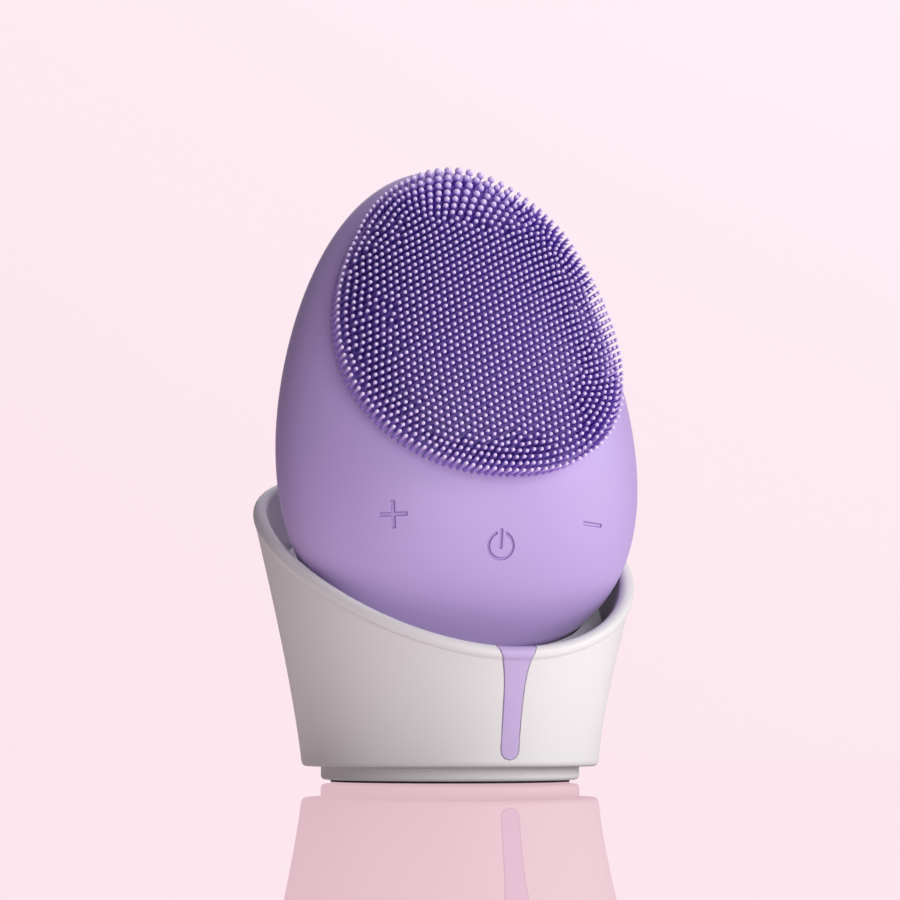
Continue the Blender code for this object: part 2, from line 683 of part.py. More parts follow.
def make_key(name, x, z):
    """A soft key of the skin with its stem, and the switch that it presses."""
    key = cylinder(name + "_key", KEY_RADIUS, -30 * MM, -4 * MM, (x, z), "Y", 20, BRUSH_FRAME)
    keep_inside(key, egg_solid(name + "_key_face", 0.0, 48, 28))
    cut(key, egg_solid(name + "_key_back", SLEEVE_THICKNESS, 36, 20))
    face = egg_surface(surface_direction(np.array(x), np.array(z)), SLEEVE_THICKNESS / 2)
    join(key, cylinder(name + "_stem", STEM_RADIUS, float(face[1]), -(PLUNGER_TOP + GAP), (x, z), "Y",
                       12, BRUSH_FRAME))
    finish_piece(key, "lilac_silicone", 50)

    half = 2.25 * MM
    switch = box(name + "_switch", (x - half, -SWITCH_TOP, z - half),
                 (x + half, -(BOARD_FRONT + GAP), z + half), BRUSH_FRAME)
    cut(switch, cylinder(name + "_switch_well", PLUNGER_RADIUS + GAP, -10 * MM, -6.3 * MM, (x, z), "Y",
                         16, BRUSH_FRAME))
    finish_piece(switch, "steel")
    plunger = cylinder(name + "_plunger", PLUNGER_RADIUS, -PLUNGER_TOP, -PLUNGER_FOOT, (x, z), "Y",
                       16, BRUSH_FRAME)
    finish_piece(plunger, "dark_rubber")


def make_board_and_battery():
    board = box("main_board", (-22.6 * MM, -BOARD_FRONT, -37.0 * MM), (22.6 * MM, -BOARD_BACK, -3.0 * MM),
                BRUSH_FRAME)
    keep_inside(board, egg_solid("board_outline", INNER_CLEARANCE, 32, 18))
    finish_piece(board, "green_board")
    battery = box("battery", (-16 * MM, -3.9 * MM, -24 * MM), (16 * MM, 3.6 * MM, 8 * MM), BRUSH_FRAME,
                  bevel=1.0 * MM)
    finish_piece(battery, "battery_film")
    pad = box("battery_foam", (-14 * MM, 3.9 * MM, -21 * MM), (14 * MM, 5.4 * MM, 5 * MM), BRUSH_FRAME)
    finish_piece(pad, "dark_rubber")


def make_motor():
    """The vibration motor: can, rubber cushion, bracket, and the shaft with its weight."""
    can = cylinder("motor_can", 5.0 * MM, 13 * MM, 27 * MM, parent=BRUSH_FRAME, segments=28)
    cut(can, cylinder("shaft_bore", 1.05 * MM, 20 * MM, 28 * MM, parent=BRUSH_FRAME, segments=16))
    finish_piece(can, "steel")
    cushion = oval_ring("motor_cushion", (6.6 * MM, 6.6 * MM), (5.3 * MM, 5.3 * MM), 15 * MM, 25 * MM,
                        (0, 0), BRUSH_FRAME)
    finish_piece(cushion, "dark_rubber")
    bracket = box("motor_bracket", (-10.5 * MM, -1.0 * MM, 16 * MM), (10.5 * MM, 15 * MM, 24 * MM),
                  BRUSH_FRAME)
    keep_inside(bracket, egg_solid("bracket_room", INNER_CLEARANCE, 28, 16))
    cut(bracket, cylinder("bracket_seat", 6.9 * MM, 14 * MM, 26 * MM, parent=BRUSH_FRAME, segments=28))
    finish_piece(bracket, "grey_plastic")
    shaft = cylinder("motor_shaft", 0.75 * MM, 20.3 * MM, 35 * MM, parent=BRUSH_FRAME, segments=16)
    finish_piece(shaft, "steel")
    weight = cylinder("eccentric_weight", 5.0 * MM, 29 * MM, 34 * MM, parent=BRUSH_FRAME, segments=24)
    cut(weight, cylinder("weight_bore", 1.05 * MM, 28 * MM, 35 * MM, parent=BRUSH_FRAME, segments=16),
        box("weight_relief", (-6 * MM, 1.8 * MM, 28 * MM), (6 * MM, 6 * MM, 35 * MM), BRUSH_FRAME))
    finish_piece(weight, "brass")


def make_receiver():
    """The charging receiver in the egg's lower end."""
    coil = oval_ring("receiving_coil", (11.6 * MM, 5.0 * MM), (5.0 * MM, 1.9 * MM), -40.6 * MM, -39.4 * MM,
                     (0, 0), BRUSH_FRAME)
    finish_piece(coil, "copper")
    ferrite = oval_plate("receiving_ferrite", (11.6 * MM, 5.0 * MM), -39.0 * MM, -38.3 * MM, (0, 0),
                         BRUSH_FRAME)
    finish_piece(ferrite, "ferrite")


clear_scene()
PIECES = new_collection("facial_cleansing_brush")
CUTTERS = new_collection("cutters")
BRUSH_FRAME = place(bpy.data.objects.new("brush_frame", None), PIECES)
BRUSH_FRAME.location = EGG_CENTRE
BRUSH_FRAME.rotation_euler = (-LEAN, 0, 0)
KEYS = {"plus": (-SIDE_KEY[0], SIDE_KEY[1]), "minus": SIDE_KEY, "power": POWER_KEY}

make_cup()
finish_piece(make_inlay_solid("front_inlay", 0.0, 0.0, INLAY_DEPTH), "lilac_inlay")
make_cradle()
make_base()
make_stand_electronics()
make_sleeve()
make_pad()
make_casing()
for key_name, (key_x, key_z) in KEYS.items():
    make_key(key_name, key_x, key_z)
make_board_and_battery()
make_motor()
make_receiver()
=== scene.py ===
import json
import math

import bpy
import numpy as np
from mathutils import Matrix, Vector


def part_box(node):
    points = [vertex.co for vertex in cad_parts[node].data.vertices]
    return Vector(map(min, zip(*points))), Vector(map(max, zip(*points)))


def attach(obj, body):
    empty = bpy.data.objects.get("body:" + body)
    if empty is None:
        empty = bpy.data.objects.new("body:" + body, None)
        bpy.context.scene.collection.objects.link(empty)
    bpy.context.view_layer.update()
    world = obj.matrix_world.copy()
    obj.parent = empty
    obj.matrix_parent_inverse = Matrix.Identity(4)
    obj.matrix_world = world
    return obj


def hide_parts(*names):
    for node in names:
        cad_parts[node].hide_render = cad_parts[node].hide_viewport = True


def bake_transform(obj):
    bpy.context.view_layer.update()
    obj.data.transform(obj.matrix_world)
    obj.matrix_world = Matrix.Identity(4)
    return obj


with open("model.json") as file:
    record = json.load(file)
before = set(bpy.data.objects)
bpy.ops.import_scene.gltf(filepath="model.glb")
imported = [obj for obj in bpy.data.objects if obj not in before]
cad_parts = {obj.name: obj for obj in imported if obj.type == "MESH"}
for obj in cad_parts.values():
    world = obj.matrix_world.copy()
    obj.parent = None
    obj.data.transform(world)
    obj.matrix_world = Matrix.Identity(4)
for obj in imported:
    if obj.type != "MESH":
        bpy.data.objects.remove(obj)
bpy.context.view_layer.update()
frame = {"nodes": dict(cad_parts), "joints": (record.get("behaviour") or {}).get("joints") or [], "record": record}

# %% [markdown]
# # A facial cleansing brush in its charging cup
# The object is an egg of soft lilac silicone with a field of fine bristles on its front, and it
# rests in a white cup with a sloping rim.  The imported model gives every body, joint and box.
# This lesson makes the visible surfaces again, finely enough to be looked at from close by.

MM = 0.001
RECORD = frame["record"]
NODES = frame["nodes"]
JOINTS = {joint["name"]: joint for joint in frame["joints"]}

# %% [markdown]
# ## Where the brush sits
# The brush leans back a little in its cup.  Its long axis is the axis along which it lifts out,
# and the motor's shaft lies on that axis, so the joints alone say where the egg's middle is.
# Typing the numbers in again would work too, but then two sets of numbers could drift apart.

# %% The brush's own frame
MOTOR_RISE = 28.0 * MM
LONG = np.array(JOINTS["brush_lift"]["axis"], float)
LONG /= np.linalg.norm(LONG)
SIDE = np.array([1.0, 0.0, 0.0])
THICK = np.cross(LONG, SIDE)
EGG_CENTRE = np.array(JOINTS["motor_spin"]["pos_m"], float) - MOTOR_RISE * LONG


def in_cup(local):
    """Points of the brush's own frame, put where the brush stands.

    The middle plus x times the side axis, y times the thickness axis and z times the long axis.
    """
    local = np.asarray(local, float)
    return EGG_CENTRE + local[..., :1] * SIDE + local[..., 1:2] * THICK + local[..., 2:] * LONG


LEAN = math.degrees(math.asin(LONG[1]))
print("egg centre in mm:", np.round(EGG_CENTRE / MM, 2), "lean in degrees:", round(LEAN, 2))

# %% [markdown]
# ## Turning arrays into pieces
# Each surface is worked out as a whole array of points, and then handed to Blender in one go.
# A face list says which points belong together.  Every piece is closed, so the sign of its
# volume tells whether its faces look outwards, and a piece that is inside out is turned over.

# %% Helpers for meshes
def grid_faces(rows, columns, wrap_rows=False, wrap_columns=False, offset=0):
    """Corners of the cells between neighbouring rows and columns, as (n, 4)."""
    r = np.arange(rows if wrap_rows else rows - 1)[:, None]
    c = np.arange(columns if wrap_columns else columns - 1)[None, :]
    below, right = (r + 1) % rows, (c + 1) % columns
    cells = np.stack([r * columns + c, r * columns + right,
                      below * columns + right, below * columns + c], axis=-1)
    return cells.reshape(-1, 4) + offset


def fan_faces(ring, pole, first):
    """Triangles from a closed ring of point numbers to a pole, written as (n, 4).

    A triangle repeats its last corner.  A fan at the first row runs against the grid, one at
    the last row runs with it, so that all faces turn the same way.
    """
    ahead = np.roll(ring, -1)
    pair = (ahead, ring) if first else (ring, ahead)
    pole = np.full(len(ring), pole)
    return np.stack([pair[0], pair[1], pole, pole], axis=-1)


def tray_faces(rows, columns):
    """Faces of a closed round tray, from a sheet of rings, a second one under it and two middles.

    The sheets are joined along their first rings, and a fan closes each at its last ring.
    """
    count = rows * columns
    ring = np.arange(columns)
    ahead = np.roll(ring, -1)
    return np.concatenate([
        grid_faces(rows, columns, wrap_columns=True),
        grid_faces(rows, columns, wrap_columns=True, offset=count)[:, ::-1],
        np.stack([ring, ring + count, ahead + count, ahead], axis=-1),
        fan_faces(ring + count - columns, 2 * count, False),
        fan_faces(ring + 2 * count - columns, 2 * count + 1, True)])


def bar_faces(rows, columns):
    """Faces of a closed solid from rings of one length, and a fan at each end."""
    count = rows * columns
    ring = np.arange(columns)
    return np.concatenate([grid_faces(rows, columns, wrap_columns=True),
                           fan_faces(ring, count, True),
                           fan_faces(ring + count - columns, count + 1, False)])


# %% [markdown]
# The next helper hands the arrays over.  It also says which body a piece rides on and which
# solids of the imported model it stands for.

# %% Making a piece
def new_piece(name, points, faces, material, body=None, slot=None, stands_for=(), normals=None):
    """One mesh object at the origin, from points (n, 3) and faces (m, 4).

    The signed volume is the sum over all faces of the first corner times the cross product of
    the next two, over six.  Where it is below zero, the corners' order is reversed.
    Normals, if given, are (m, 4, 3): one for each corner of each face.
    """
    points = np.asarray(points, float).reshape(-1, 3)
    three = faces[:, 2] == faces[:, 3]
    a, b, c, d = (points[faces[:, k]] for k in range(4))
    volume = (np.cross(b, c) * a).sum() / 6 + (np.cross(c, d) * a).sum() / 6
    if volume < 0:
        order = np.where(three[:, None], [0, 2, 1, 1], [0, 3, 2, 1])
        faces = np.take_along_axis(faces, order, axis=1)
        if normals is not None:
            normals = np.take_along_axis(normals, order[:, :, None], axis=1)
    kept = np.ones(faces.shape, bool)
    kept[three, 3] = False
    counts = kept.sum(axis=1)
    mesh = bpy.data.meshes.new(name)
    mesh.vertices.add(len(points))
    mesh.vertices.foreach_set("co", points.astype(np.float32).ravel())
    mesh.loops.add(int(counts.sum()))
    mesh.loops.foreach_set("vertex_index", faces[kept].astype(np.int32))
    mesh.polygons.add(len(faces))
    mesh.polygons.foreach_set("loop_start", (np.cumsum(counts) - counts).astype(np.int32))
    mesh.polygons.foreach_set("use_smooth", np.ones(len(faces), bool))
    mesh.update(calc_edges=True)
    mesh.materials.append(material)
    if normals is not None:
        mesh.normals_split_custom_set(normals[kept].tolist())
    piece = bpy.data.objects.new(name, mesh)
    bpy.context.scene.collection.objects.link(piece)
    if body:
        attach(piece, body)
    if stands_for:
        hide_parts(*stands_for)
    print(f"{name}: {len(points)} points, {int((counts - 2).sum())} triangles, "
          f"{abs(volume) / MM ** 3:.0f} mm3")
    return piece


def point_values(piece, name, values):
    """A number for each point of the piece, which its finish can read."""
    attribute = piece.data.attributes.new(name, "FLOAT", "POINT")
    attribute.data.foreach_set("value", values.astype(np.float32))


def smooth_step(x):
    """0 below 0, 1 above 1, and between them 3 x squared less 2 x cubed."""
    x = np.clip(x, 0.0, 1.0)
    return x * x * (3 - 2 * x)


def grid_lines(stops, steps):
    """Line positions from stop to stop, each stretch cut evenly and no coarser than its step."""
    parts = [np.linspace(a, b, max(math.ceil((b - a) / step), 1), endpoint=False)
             for a, b, step in zip(stops, stops[1:], steps)]
    return np.concatenate(parts + [[stops[-1]]])


def sharpen(piece, degrees):
    """Edges that turn more than this many degrees stay crisp; the rest shade smoothly."""
    piece.data.set_sharp_from_angle(angle=math.radians(degrees))


# %% [markdown]
# ## Finishes
# Every finish is a Principled shader whose small unevenness comes from noise on Object
# coordinates, in metres.  A value that is the same all over sits on the shader's own socket.
# Soft silicone is dull and very slightly mottled, the cup is a satin moulding, and the hidden
# parts inside each get the look of their own material.

# %% Helpers for finishes
def finish(name, colour, roughness, **sockets):
    """A Principled material and what is needed to add to it."""
    material = bpy.data.materials.new(name)
    material.use_nodes = True
    shader = material.node_tree.nodes["Principled BSDF"]
    shader.inputs["Base Color"].default_value = (*colour, 1.0)
    shader.inputs["Roughness"].default_value = roughness
    for socket, value in sockets.items():
        shader.inputs[socket.replace("_", " ")].default_value = value
    return material, material.node_tree, shader


def noise(tree, scale, detail=2.0, stretch=(1.0, 1.0, 1.0)):
    """Noise on Object coordinates, scale in waves for each metre."""
    place = tree.nodes.new("ShaderNodeTexCoord")
    turn = tree.nodes.new("ShaderNodeMapping")
    turn.inputs["Scale"].default_value = stretch
    texture = tree.nodes.new("ShaderNodeTexNoise")
    texture.inputs["Scale"].default_value = scale
    texture.inputs["Detail"].default_value = detail
    tree.links.new(place.outputs["Object"], turn.inputs["Vector"])
    tree.links.new(turn.outputs["Vector"], texture.inputs["Vector"])
    return texture.outputs["Fac"]


def ramp(tree, source, stops):
    """A colour ramp from (position, colour) pairs."""
    node = tree.nodes.new("ShaderNodeValToRGB")
    while len(node.color_ramp.elements) < len(stops):
        node.color_ramp.elements.new(0.5)
    for element, (position, colour) in zip(node.color_ramp.elements, stops):
        element.position = position
        element.color = (*colour, 1.0)
    tree.links.new(source, node.inputs["Fac"])
    return node.outputs["Color"]


def between(tree, source, low, high, start=0.0, end=1.0, smooth=False):
    """Spreads a value that runs from start to end over low to high."""
    node = tree.nodes.new("ShaderNodeMapRange")
    if smooth:
        node.interpolation_type = "SMOOTHSTEP"
    for name, value in (("From Min", start), ("From Max", end), ("To Min", low), ("To Max", high)):
        node.inputs[name].default_value = value
    tree.links.new(source, node.inputs["Value"])
    return node.outputs["Result"]


def colour_mix(tree, share, first, second):
    """The first colour where the share is 0, the second where it is 1."""
    node = tree.nodes.new("ShaderNodeMix")
    node.data_type = "RGBA"
    tree.links.new(share, node.inputs[0])
    colours = [item for item in node.inputs if item.type == "RGBA"]
    for socket, value in zip(colours, (first, second)):
        if isinstance(value, tuple):
            socket.default_value = (*value, 1.0)
        else:
            tree.links.new(value, socket)
    return [item for item in node.outputs if item.type == "RGBA"][0]


def own_value(tree, name):
    """The number that the piece carries at each of its points under this name."""
    node = tree.nodes.new("ShaderNodeAttribute")
    node.attribute_name = name
    return node.outputs["Fac"]


def bumps(tree, shader, height, distance):
    """Small relief: height times distance, in metres."""
    node = tree.nodes.new("ShaderNodeBump")
    node.inputs["Distance"].default_value = distance
    node.inputs["Strength"].default_value = 1.0
    tree.links.new(height, node.inputs["Height"])
    tree.links.new(node.outputs["Normal"], shader.inputs["Normal"])


def mottled(name, colour, roughness, spread, grain, depth, **sockets):
    """A finish whose colour and dullness drift a little, with a fine grain."""
    material, tree, shader = finish(name, colour, roughness, **sockets)
    cloud = noise(tree, 45.0)
    low = tuple(c * (1 - spread) for c in colour)
    high = tuple(min(c * (1 + spread), 1.0) for c in colour)
    tree.links.new(ramp(tree, cloud, [(0.3, low), (0.7, high)]), shader.inputs["Base Color"])
    tree.links.new(between(tree, noise(tree, 160.0), roughness - 0.04, roughness + 0.04),
                   shader.inputs["Roughness"])
    bumps(tree, shader, noise(tree, grain, 3.0), depth)
    return material


# %% [markdown]
# ## The finishes that show
# Silicone has a fine dull grain.  The skin has painted shade on the steep edges of its symbols,
# the plate under the bristles fades into the skin, and each bristle has painted shade at its
# root and painted light at its tip.  Each of them reads a number that its piece carries.

# %% The finishes that show
LILAC = (0.46, 0.34, 0.665)
# Painted shade for the edges of the symbols' strokes.
LILAC_PAINTED_SHADE = (0.20, 0.12, 0.42)
PAD_PURPLE = (0.17, 0.09, 0.44)
SILICONE_WAVES = 2600.0
SILICONE_GRAIN = 0.01 * MM


def make_skin_finish_with_painted_shade():
    """Soft silicone, with painted shade on the steep edges of the pressed symbols.

    The skin's own value runs from 0 on the plain skin to 1 inside a stroke.  The painted shade is
    strongest half way, on the edge of the stroke, and a little of it stays inside.
    """
    material = mottled("lilac_silicone", LILAC, 0.5, 0.015, SILICONE_WAVES, SILICONE_GRAIN,
                       Sheen_Weight=0.2, Sheen_Roughness=0.4, Specular_IOR_Level=0.45)
    tree = material.node_tree
    colour = tree.nodes["Principled BSDF"].inputs["Base Color"]
    plain = colour.links[0].from_socket
    # Painted shade: none on the plain skin, strongest on the stroke's edge, a little inside it.
    stops = [(0.0, (0.0, 0.0, 0.0)), (0.4, (0.9, 0.9, 0.9)), (0.7, (0.9, 0.9, 0.9)),
             (1.0, (0.12, 0.12, 0.12))]
    edge = ramp(tree, own_value(tree, "pressed"), stops)
    tree.links.new(colour_mix(tree, edge, plain, LILAC_PAINTED_SHADE), colour)
    return material


lilac_silicone = make_skin_finish_with_painted_shade()
white_shell = mottled("white_shell", (0.70, 0.70, 0.70), 0.5, 0.01, 1900.0, 0.006 * MM)
lilac_inlay = mottled("lilac_inlay", (0.50, 0.39, 0.66), 0.45, 0.012, 1900.0, 0.005 * MM)
pad_purple = mottled("pad_purple", PAD_PURPLE, 0.5, 0.05, SILICONE_WAVES, SILICONE_GRAIN)


def make_bristle_finish_with_painted_light():
    """Purple with painted light: painted shade at the root among the bristles, growing paler to a painted lit tip.
    """
    # Painted light and shade along each bristle: dark at the root, pale at the tip.
    stops = [(0.0, (0.25, 0.145, 0.62)), (0.45, (0.33, 0.20, 0.74)), (0.80, (0.50, 0.34, 0.88)),
             (0.94, (0.72, 0.57, 0.97)), (1.0, (0.82, 0.71, 0.99))]
    material, tree, shader = finish("bristle_silicone", stops[0][1], 0.5, Specular_IOR_Level=0.42)
    tree.links.new(ramp(tree, own_value(tree, "tip_share"), stops), shader.inputs["Base Color"])
    tree.links.new(between(tree, noise(tree, 300.0), 0.46, 0.56), shader.inputs["Roughness"])
    return material


def make_plate_finish():
    """Deep purple that fades into the skin's lilac at the plate's edge."""
    stops = [(0.0, PAD_PURPLE), (0.90, PAD_PURPLE), (0.955, (0.32, 0.21, 0.58)), (0.985, LILAC)]
    material, tree, shader = finish("plate_silicone", PAD_PURPLE, 0.5)
    tree.links.new(ramp(tree, own_value(tree, "edge_share"), stops), shader.inputs["Base Color"])
    bumps(tree, shader, noise(tree, SILICONE_WAVES, 3.0), SILICONE_GRAIN)
    return material


bristle_silicone = make_bristle_finish_with_painted_light()
plate_silicone = make_plate_finish()


# %% [markdown]
# ## Finishes of the hidden parts
# The screws, boards, coils and the battery never show while the brush is whole, but they are
# in the model, so each gets a finish with the marks of its own making: brushed steel, turned
# brass, wound copper, pressed ferrite and solder mask.

# %% Hidden finishes
def lined(name, colour, roughness, metallic, stretch, depth):
    """A finish with fine lines, from noise that is drawn out along one axis."""
    material, tree, shader = finish(name, colour, roughness, Metallic=metallic)
    lines = noise(tree, 900.0, 4.0, stretch)
    dull = between(tree, lines, roughness - 0.08, roughness + 0.1)
    darker = tuple(c * 0.88 for c in colour)
    tree.links.new(dull, shader.inputs["Roughness"])
    tree.links.new(ramp(tree, lines, [(0.3, darker), (0.7, colour)]), shader.inputs["Base Color"])
    bumps(tree, shader, lines, depth)
    return material


def speckled(name, low, high, roughness, scale, depth):
    """A finish with two tones in small specks."""
    material, tree, shader = finish(name, low, roughness)
    specks = noise(tree, scale, 5.0)
    tree.links.new(ramp(tree, specks, [(0.42, low), (0.62, high)]), shader.inputs["Base Color"])
    dull = between(tree, specks, roughness + 0.08, roughness - 0.05)
    tree.links.new(dull, shader.inputs["Roughness"])
    bumps(tree, shader, specks, depth)
    return material


UPRIGHT_LINES = (1.0, 1.0, 0.05)
SLOT_FINISHES = {
    "lilac_silicone": lilac_silicone,
    "purple_silicone": pad_purple,
    "white_shell": white_shell,
    "lilac_inlay": lilac_inlay,
    "grey_plastic": mottled("grey_plastic", (0.27, 0.27, 0.29), 0.5, 0.03, 1500.0, 0.01 * MM),
    "dark_rubber": speckled("dark_rubber", (0.012, 0.012, 0.013), (0.028, 0.028, 0.030),
                            0.7, 900.0, 0.02 * MM),
    "circuit_board": speckled("circuit_board", (0.006, 0.07, 0.03), (0.02, 0.14, 0.06),
                              0.35, 420.0, 0.02 * MM),
    "steel": lined("steel", (0.56, 0.56, 0.58), 0.3, 1.0, UPRIGHT_LINES, 0.004 * MM),
    "brass": lined("brass", (0.70, 0.50, 0.22), 0.28, 1.0, UPRIGHT_LINES, 0.004 * MM),
    "copper": lined("copper", (0.72, 0.34, 0.18), 0.32, 1.0, (0.3, 0.3, 6.0), 0.02 * MM),
    "ferrite": speckled("ferrite", (0.018, 0.018, 0.02), (0.05, 0.05, 0.055),
                        0.6, 1600.0, 0.01 * MM),
    "battery_film": lined("battery_film", (0.08, 0.14, 0.26), 0.3, 0.4, (1.0, 1.0, 0.4), 0.01 * MM),
}
for entry in RECORD["subparts"]:
    for holder in NODES[entry["node"]].material_slots:
        holder.material = SLOT_FINISHES[entry["material_slot"]]
print(len(RECORD["subparts"]), "nodes in", len(SLOT_FINISHES), "finishes")

# %% [markdown]
# ## The egg
# The brush's skin is one smooth egg: taller than wide, flatter than both, narrower at the top.
# A sphere primitive would need to be sculpted; a formula gives any point, any inset and any
# density of grid, and the bristles and the pocket of the cup can use the same formula.

# %% The egg's formula
EGG_HALF_WIDTH = 35.27 * MM
EGG_HALF_LENGTH = 48.14 * MM
EGG_FRONT_DEPTH = 18.88 * MM
EGG_BACK_DEPTH = 19.8 * MM
WIDTH_TAPER, WIDTH_SWELL = -0.197, 0.111
FRONT_TAPER, BACK_TAPER = -0.216, -0.122
SKIN_THICKNESS = 1.8 * MM
SLOPE_STEP = 0.01 * MM


def egg_surface(direction, inset):
    """Points of the egg for unit vectors.

    z is the half length times the vector's z.  x and y are half sizes that change along z,
    times the vector's x and y.  An inset takes the same length off all the half sizes.
    """
    along = direction[..., 2]
    width = (EGG_HALF_WIDTH - inset) * (1 + WIDTH_TAPER * along + WIDTH_SWELL * along ** 2)
    front = (EGG_FRONT_DEPTH - inset) * (1 + FRONT_TAPER * along)
    back = (EGG_BACK_DEPTH - inset) * (1 + BACK_TAPER * along)
    depth = np.where(direction[..., 1] < 0, front, back)
    return np.stack([direction[..., 0] * width, direction[..., 1] * depth,
                     (EGG_HALF_LENGTH - inset) * along], axis=-1)


def front_direction(x, z):
    """The unit vector whose point of the egg's front has these x and z."""
    along = z / EGG_HALF_LENGTH
    side = x / (EGG_HALF_WIDTH * (1 + WIDTH_TAPER * along + WIDTH_SWELL * along ** 2))
    forward = np.sqrt(np.maximum(1 - along ** 2 - side ** 2, 0.0))
    return np.stack([side, -forward, along], axis=-1)


def front_point(x, z):
    """The point of the egg's front with these x and z."""
    return egg_surface(front_direction(x, z), 0.0)


def unit(vectors):
    """Each vector over its own length."""
    return vectors / np.linalg.norm(vectors, axis=-1, keepdims=True)


def front_normal(x, z):
    """Outward normal of the egg's front: the cross product of its two slopes."""
    step = SLOPE_STEP
    across = front_point(x + step, z) - front_point(x - step, z)
    upward = front_point(x, z + step) - front_point(x, z - step)
    return unit(np.cross(across, upward))


# %% [markdown]
# ## The skin and its three keys
# The skin runs unbroken over the keys, and only the shallow symbols show where to press.
# So the whole egg is one grid with finer lines round the symbols, and it is cut into four
# pieces along grid lines: the skin, and a patch for each key.  A patch shares its border
# points with the skin, so no seam opens.

# %% Grid lines of the skin
COLUMN_STOPS = [-180, -52, -41.8, -29.2, -18, -6, 6, 18, 29.2, 41.8, 52, 180]
COLUMN_STEPS = [2.4, 0.7, 0.22, 0.7, 0.7, 0.22, 0.7, 0.7, 0.22, 0.7, 2.4]
ROW_STOPS = [-89, -56, -44, -26.6, -18.8, 89]
ROW_STEPS = [2.2, 0.7, 0.15, 0.7, 1.8]
skin_columns = grid_lines(COLUMN_STOPS, COLUMN_STEPS)[:-1]
skin_rows = grid_lines(ROW_STOPS, ROW_STEPS)
longitude = np.radians(skin_columns)[None, :]
latitude = np.radians(skin_rows)[:, None]
skin_direction = np.stack([np.cos(latitude) * np.sin(longitude),
                           -np.cos(latitude) * np.cos(longitude),
                           np.sin(latitude) + 0 * longitude], axis=-1)
skin_local = egg_surface(skin_direction, 0.0)
print("skin grid:", skin_local.shape)

# %% [markdown]
# ## The symbols
# The plus, the power sign and the minus are pressed a quarter of a millimetre into the skin.
# Each is a distance formula in a flat frame that lies on the skin at the key: below zero is
# inside the stroke.  The skin moves inwards where the distance is below zero.

# %% Distance formulas of the symbols
STROKE = 0.31 * MM
SYMBOL_DEPTH = 0.28 * MM
SYMBOL_EDGE = 0.10 * MM
SYMBOL_REACH = 6 * MM
PLUS_HALF, MINUS_HALF = 2.5 * MM, 2.4 * MM
PLUS_RISE = 0.5 * MM
POWER_RADIUS, POWER_STROKE = 2.42 * MM, 0.22 * MM
POWER_GAP = (2.4 * MM, 0.85 * MM, 1.3 * MM)
POWER_BAR = (1.25 * MM, 0.24 * MM, 1.8 * MM)


def bar_distance(a, b, half_a, half_b):
    """Distance to a rectangle round the origin: how far outside on each axis, taken together."""
    over = np.stack([np.abs(a) - half_a, np.abs(b) - half_b])
    return np.hypot(*np.maximum(over, 0)) + np.minimum(over.max(axis=0), 0)


def plus_distance(a, b):
    """The nearer of a lying and an upright bar, a little above the key's middle."""
    b = b - PLUS_RISE
    return np.minimum(bar_distance(a, b, PLUS_HALF, STROKE), bar_distance(a, b, STROKE, PLUS_HALF))


def minus_distance(a, b):
    """One lying bar."""
    return bar_distance(a, b, MINUS_HALF, STROKE)


def power_distance(a, b):
    """A ring with a gap at its top, and an upright bar through the gap.

    The gap and the bar each have a height of their middle, a half width and a half height.
    """
    ring = np.abs(np.hypot(a, b) - POWER_RADIUS) - POWER_STROKE
    gap = bar_distance(a, b - POWER_GAP[0], *POWER_GAP[1:])
    bar = bar_distance(a, b - POWER_BAR[0], *POWER_BAR[1:])
    return np.minimum(np.maximum(ring, -gap), bar)


# Each key: how far to the side and up its middle lies in the brush's own frame, and its symbol.
KEYS = {
    "plus": (-19.8 * MM, -24.9 * MM, plus_distance),
    "power": (0.0, -30.0 * MM, power_distance),
    "minus": (19.8 * MM, -24.9 * MM, minus_distance),
}


def key_frame(x, z):
    """Middle of a key and its across, up and outward axes on the skin."""
    x, z = np.array(x), np.array(z)
    outward = front_normal(x, z)
    across = unit(np.cross(np.array([0.0, 0.0, 1.0]), outward))
    return front_point(x, z), across, np.cross(outward, across), outward


# %% [markdown]
# Pressing the strokes in moves each point along the egg's own normal.  The normals of the new
# surface come from its slopes along the grid, so a narrow stroke is shaded as crisply as it is cut.

# %% Pressing the symbols in
def slopes(points):
    """Normals of the skin grid from its slopes along the columns and rows."""
    ring = np.concatenate([points[:, -2:], points, points[:, :2]], axis=1)
    lines = np.concatenate([skin_columns[-2:] - 360, skin_columns, skin_columns[:2] + 360])
    across = np.gradient(ring, lines, axis=1)[:, 2:-2]
    upward = np.gradient(points, skin_rows, axis=0)
    return unit(np.cross(across, upward))


smooth_normals = slopes(skin_local)
pressed = np.zeros(skin_local.shape[:2])
for name, (key_x, key_z, distance) in KEYS.items():
    middle, across, upward, outward = key_frame(key_x, key_z)
    reach = skin_local - middle
    near = np.linalg.norm(reach, axis=-1) < SYMBOL_REACH
    stroke = distance(reach @ across, reach @ upward)
    pressed += np.where(near, smooth_step(0.5 - stroke / SYMBOL_EDGE), 0.0)
skin_outside = skin_local - SYMBOL_DEPTH * pressed[..., None] * smooth_normals
skin_normals = slopes(skin_outside)
skin_inside = egg_surface(skin_direction, SKIN_THICKNESS)
print("points pressed in:", int((pressed > 0.5).sum()))

# %% [markdown]
# ## Cutting the skin into pieces
# A piece is a set of grid cells with an outer face, an inner face and walls where the set
# ends.  The walls are hidden between neighbours.  The normals are those of the whole egg, so
# the light runs over the cuts without a line.

# %% Pieces of the skin
ROWS, COLUMNS = pressed.shape
POINT = np.arange(ROWS * COLUMNS).reshape(ROWS, COLUMNS)


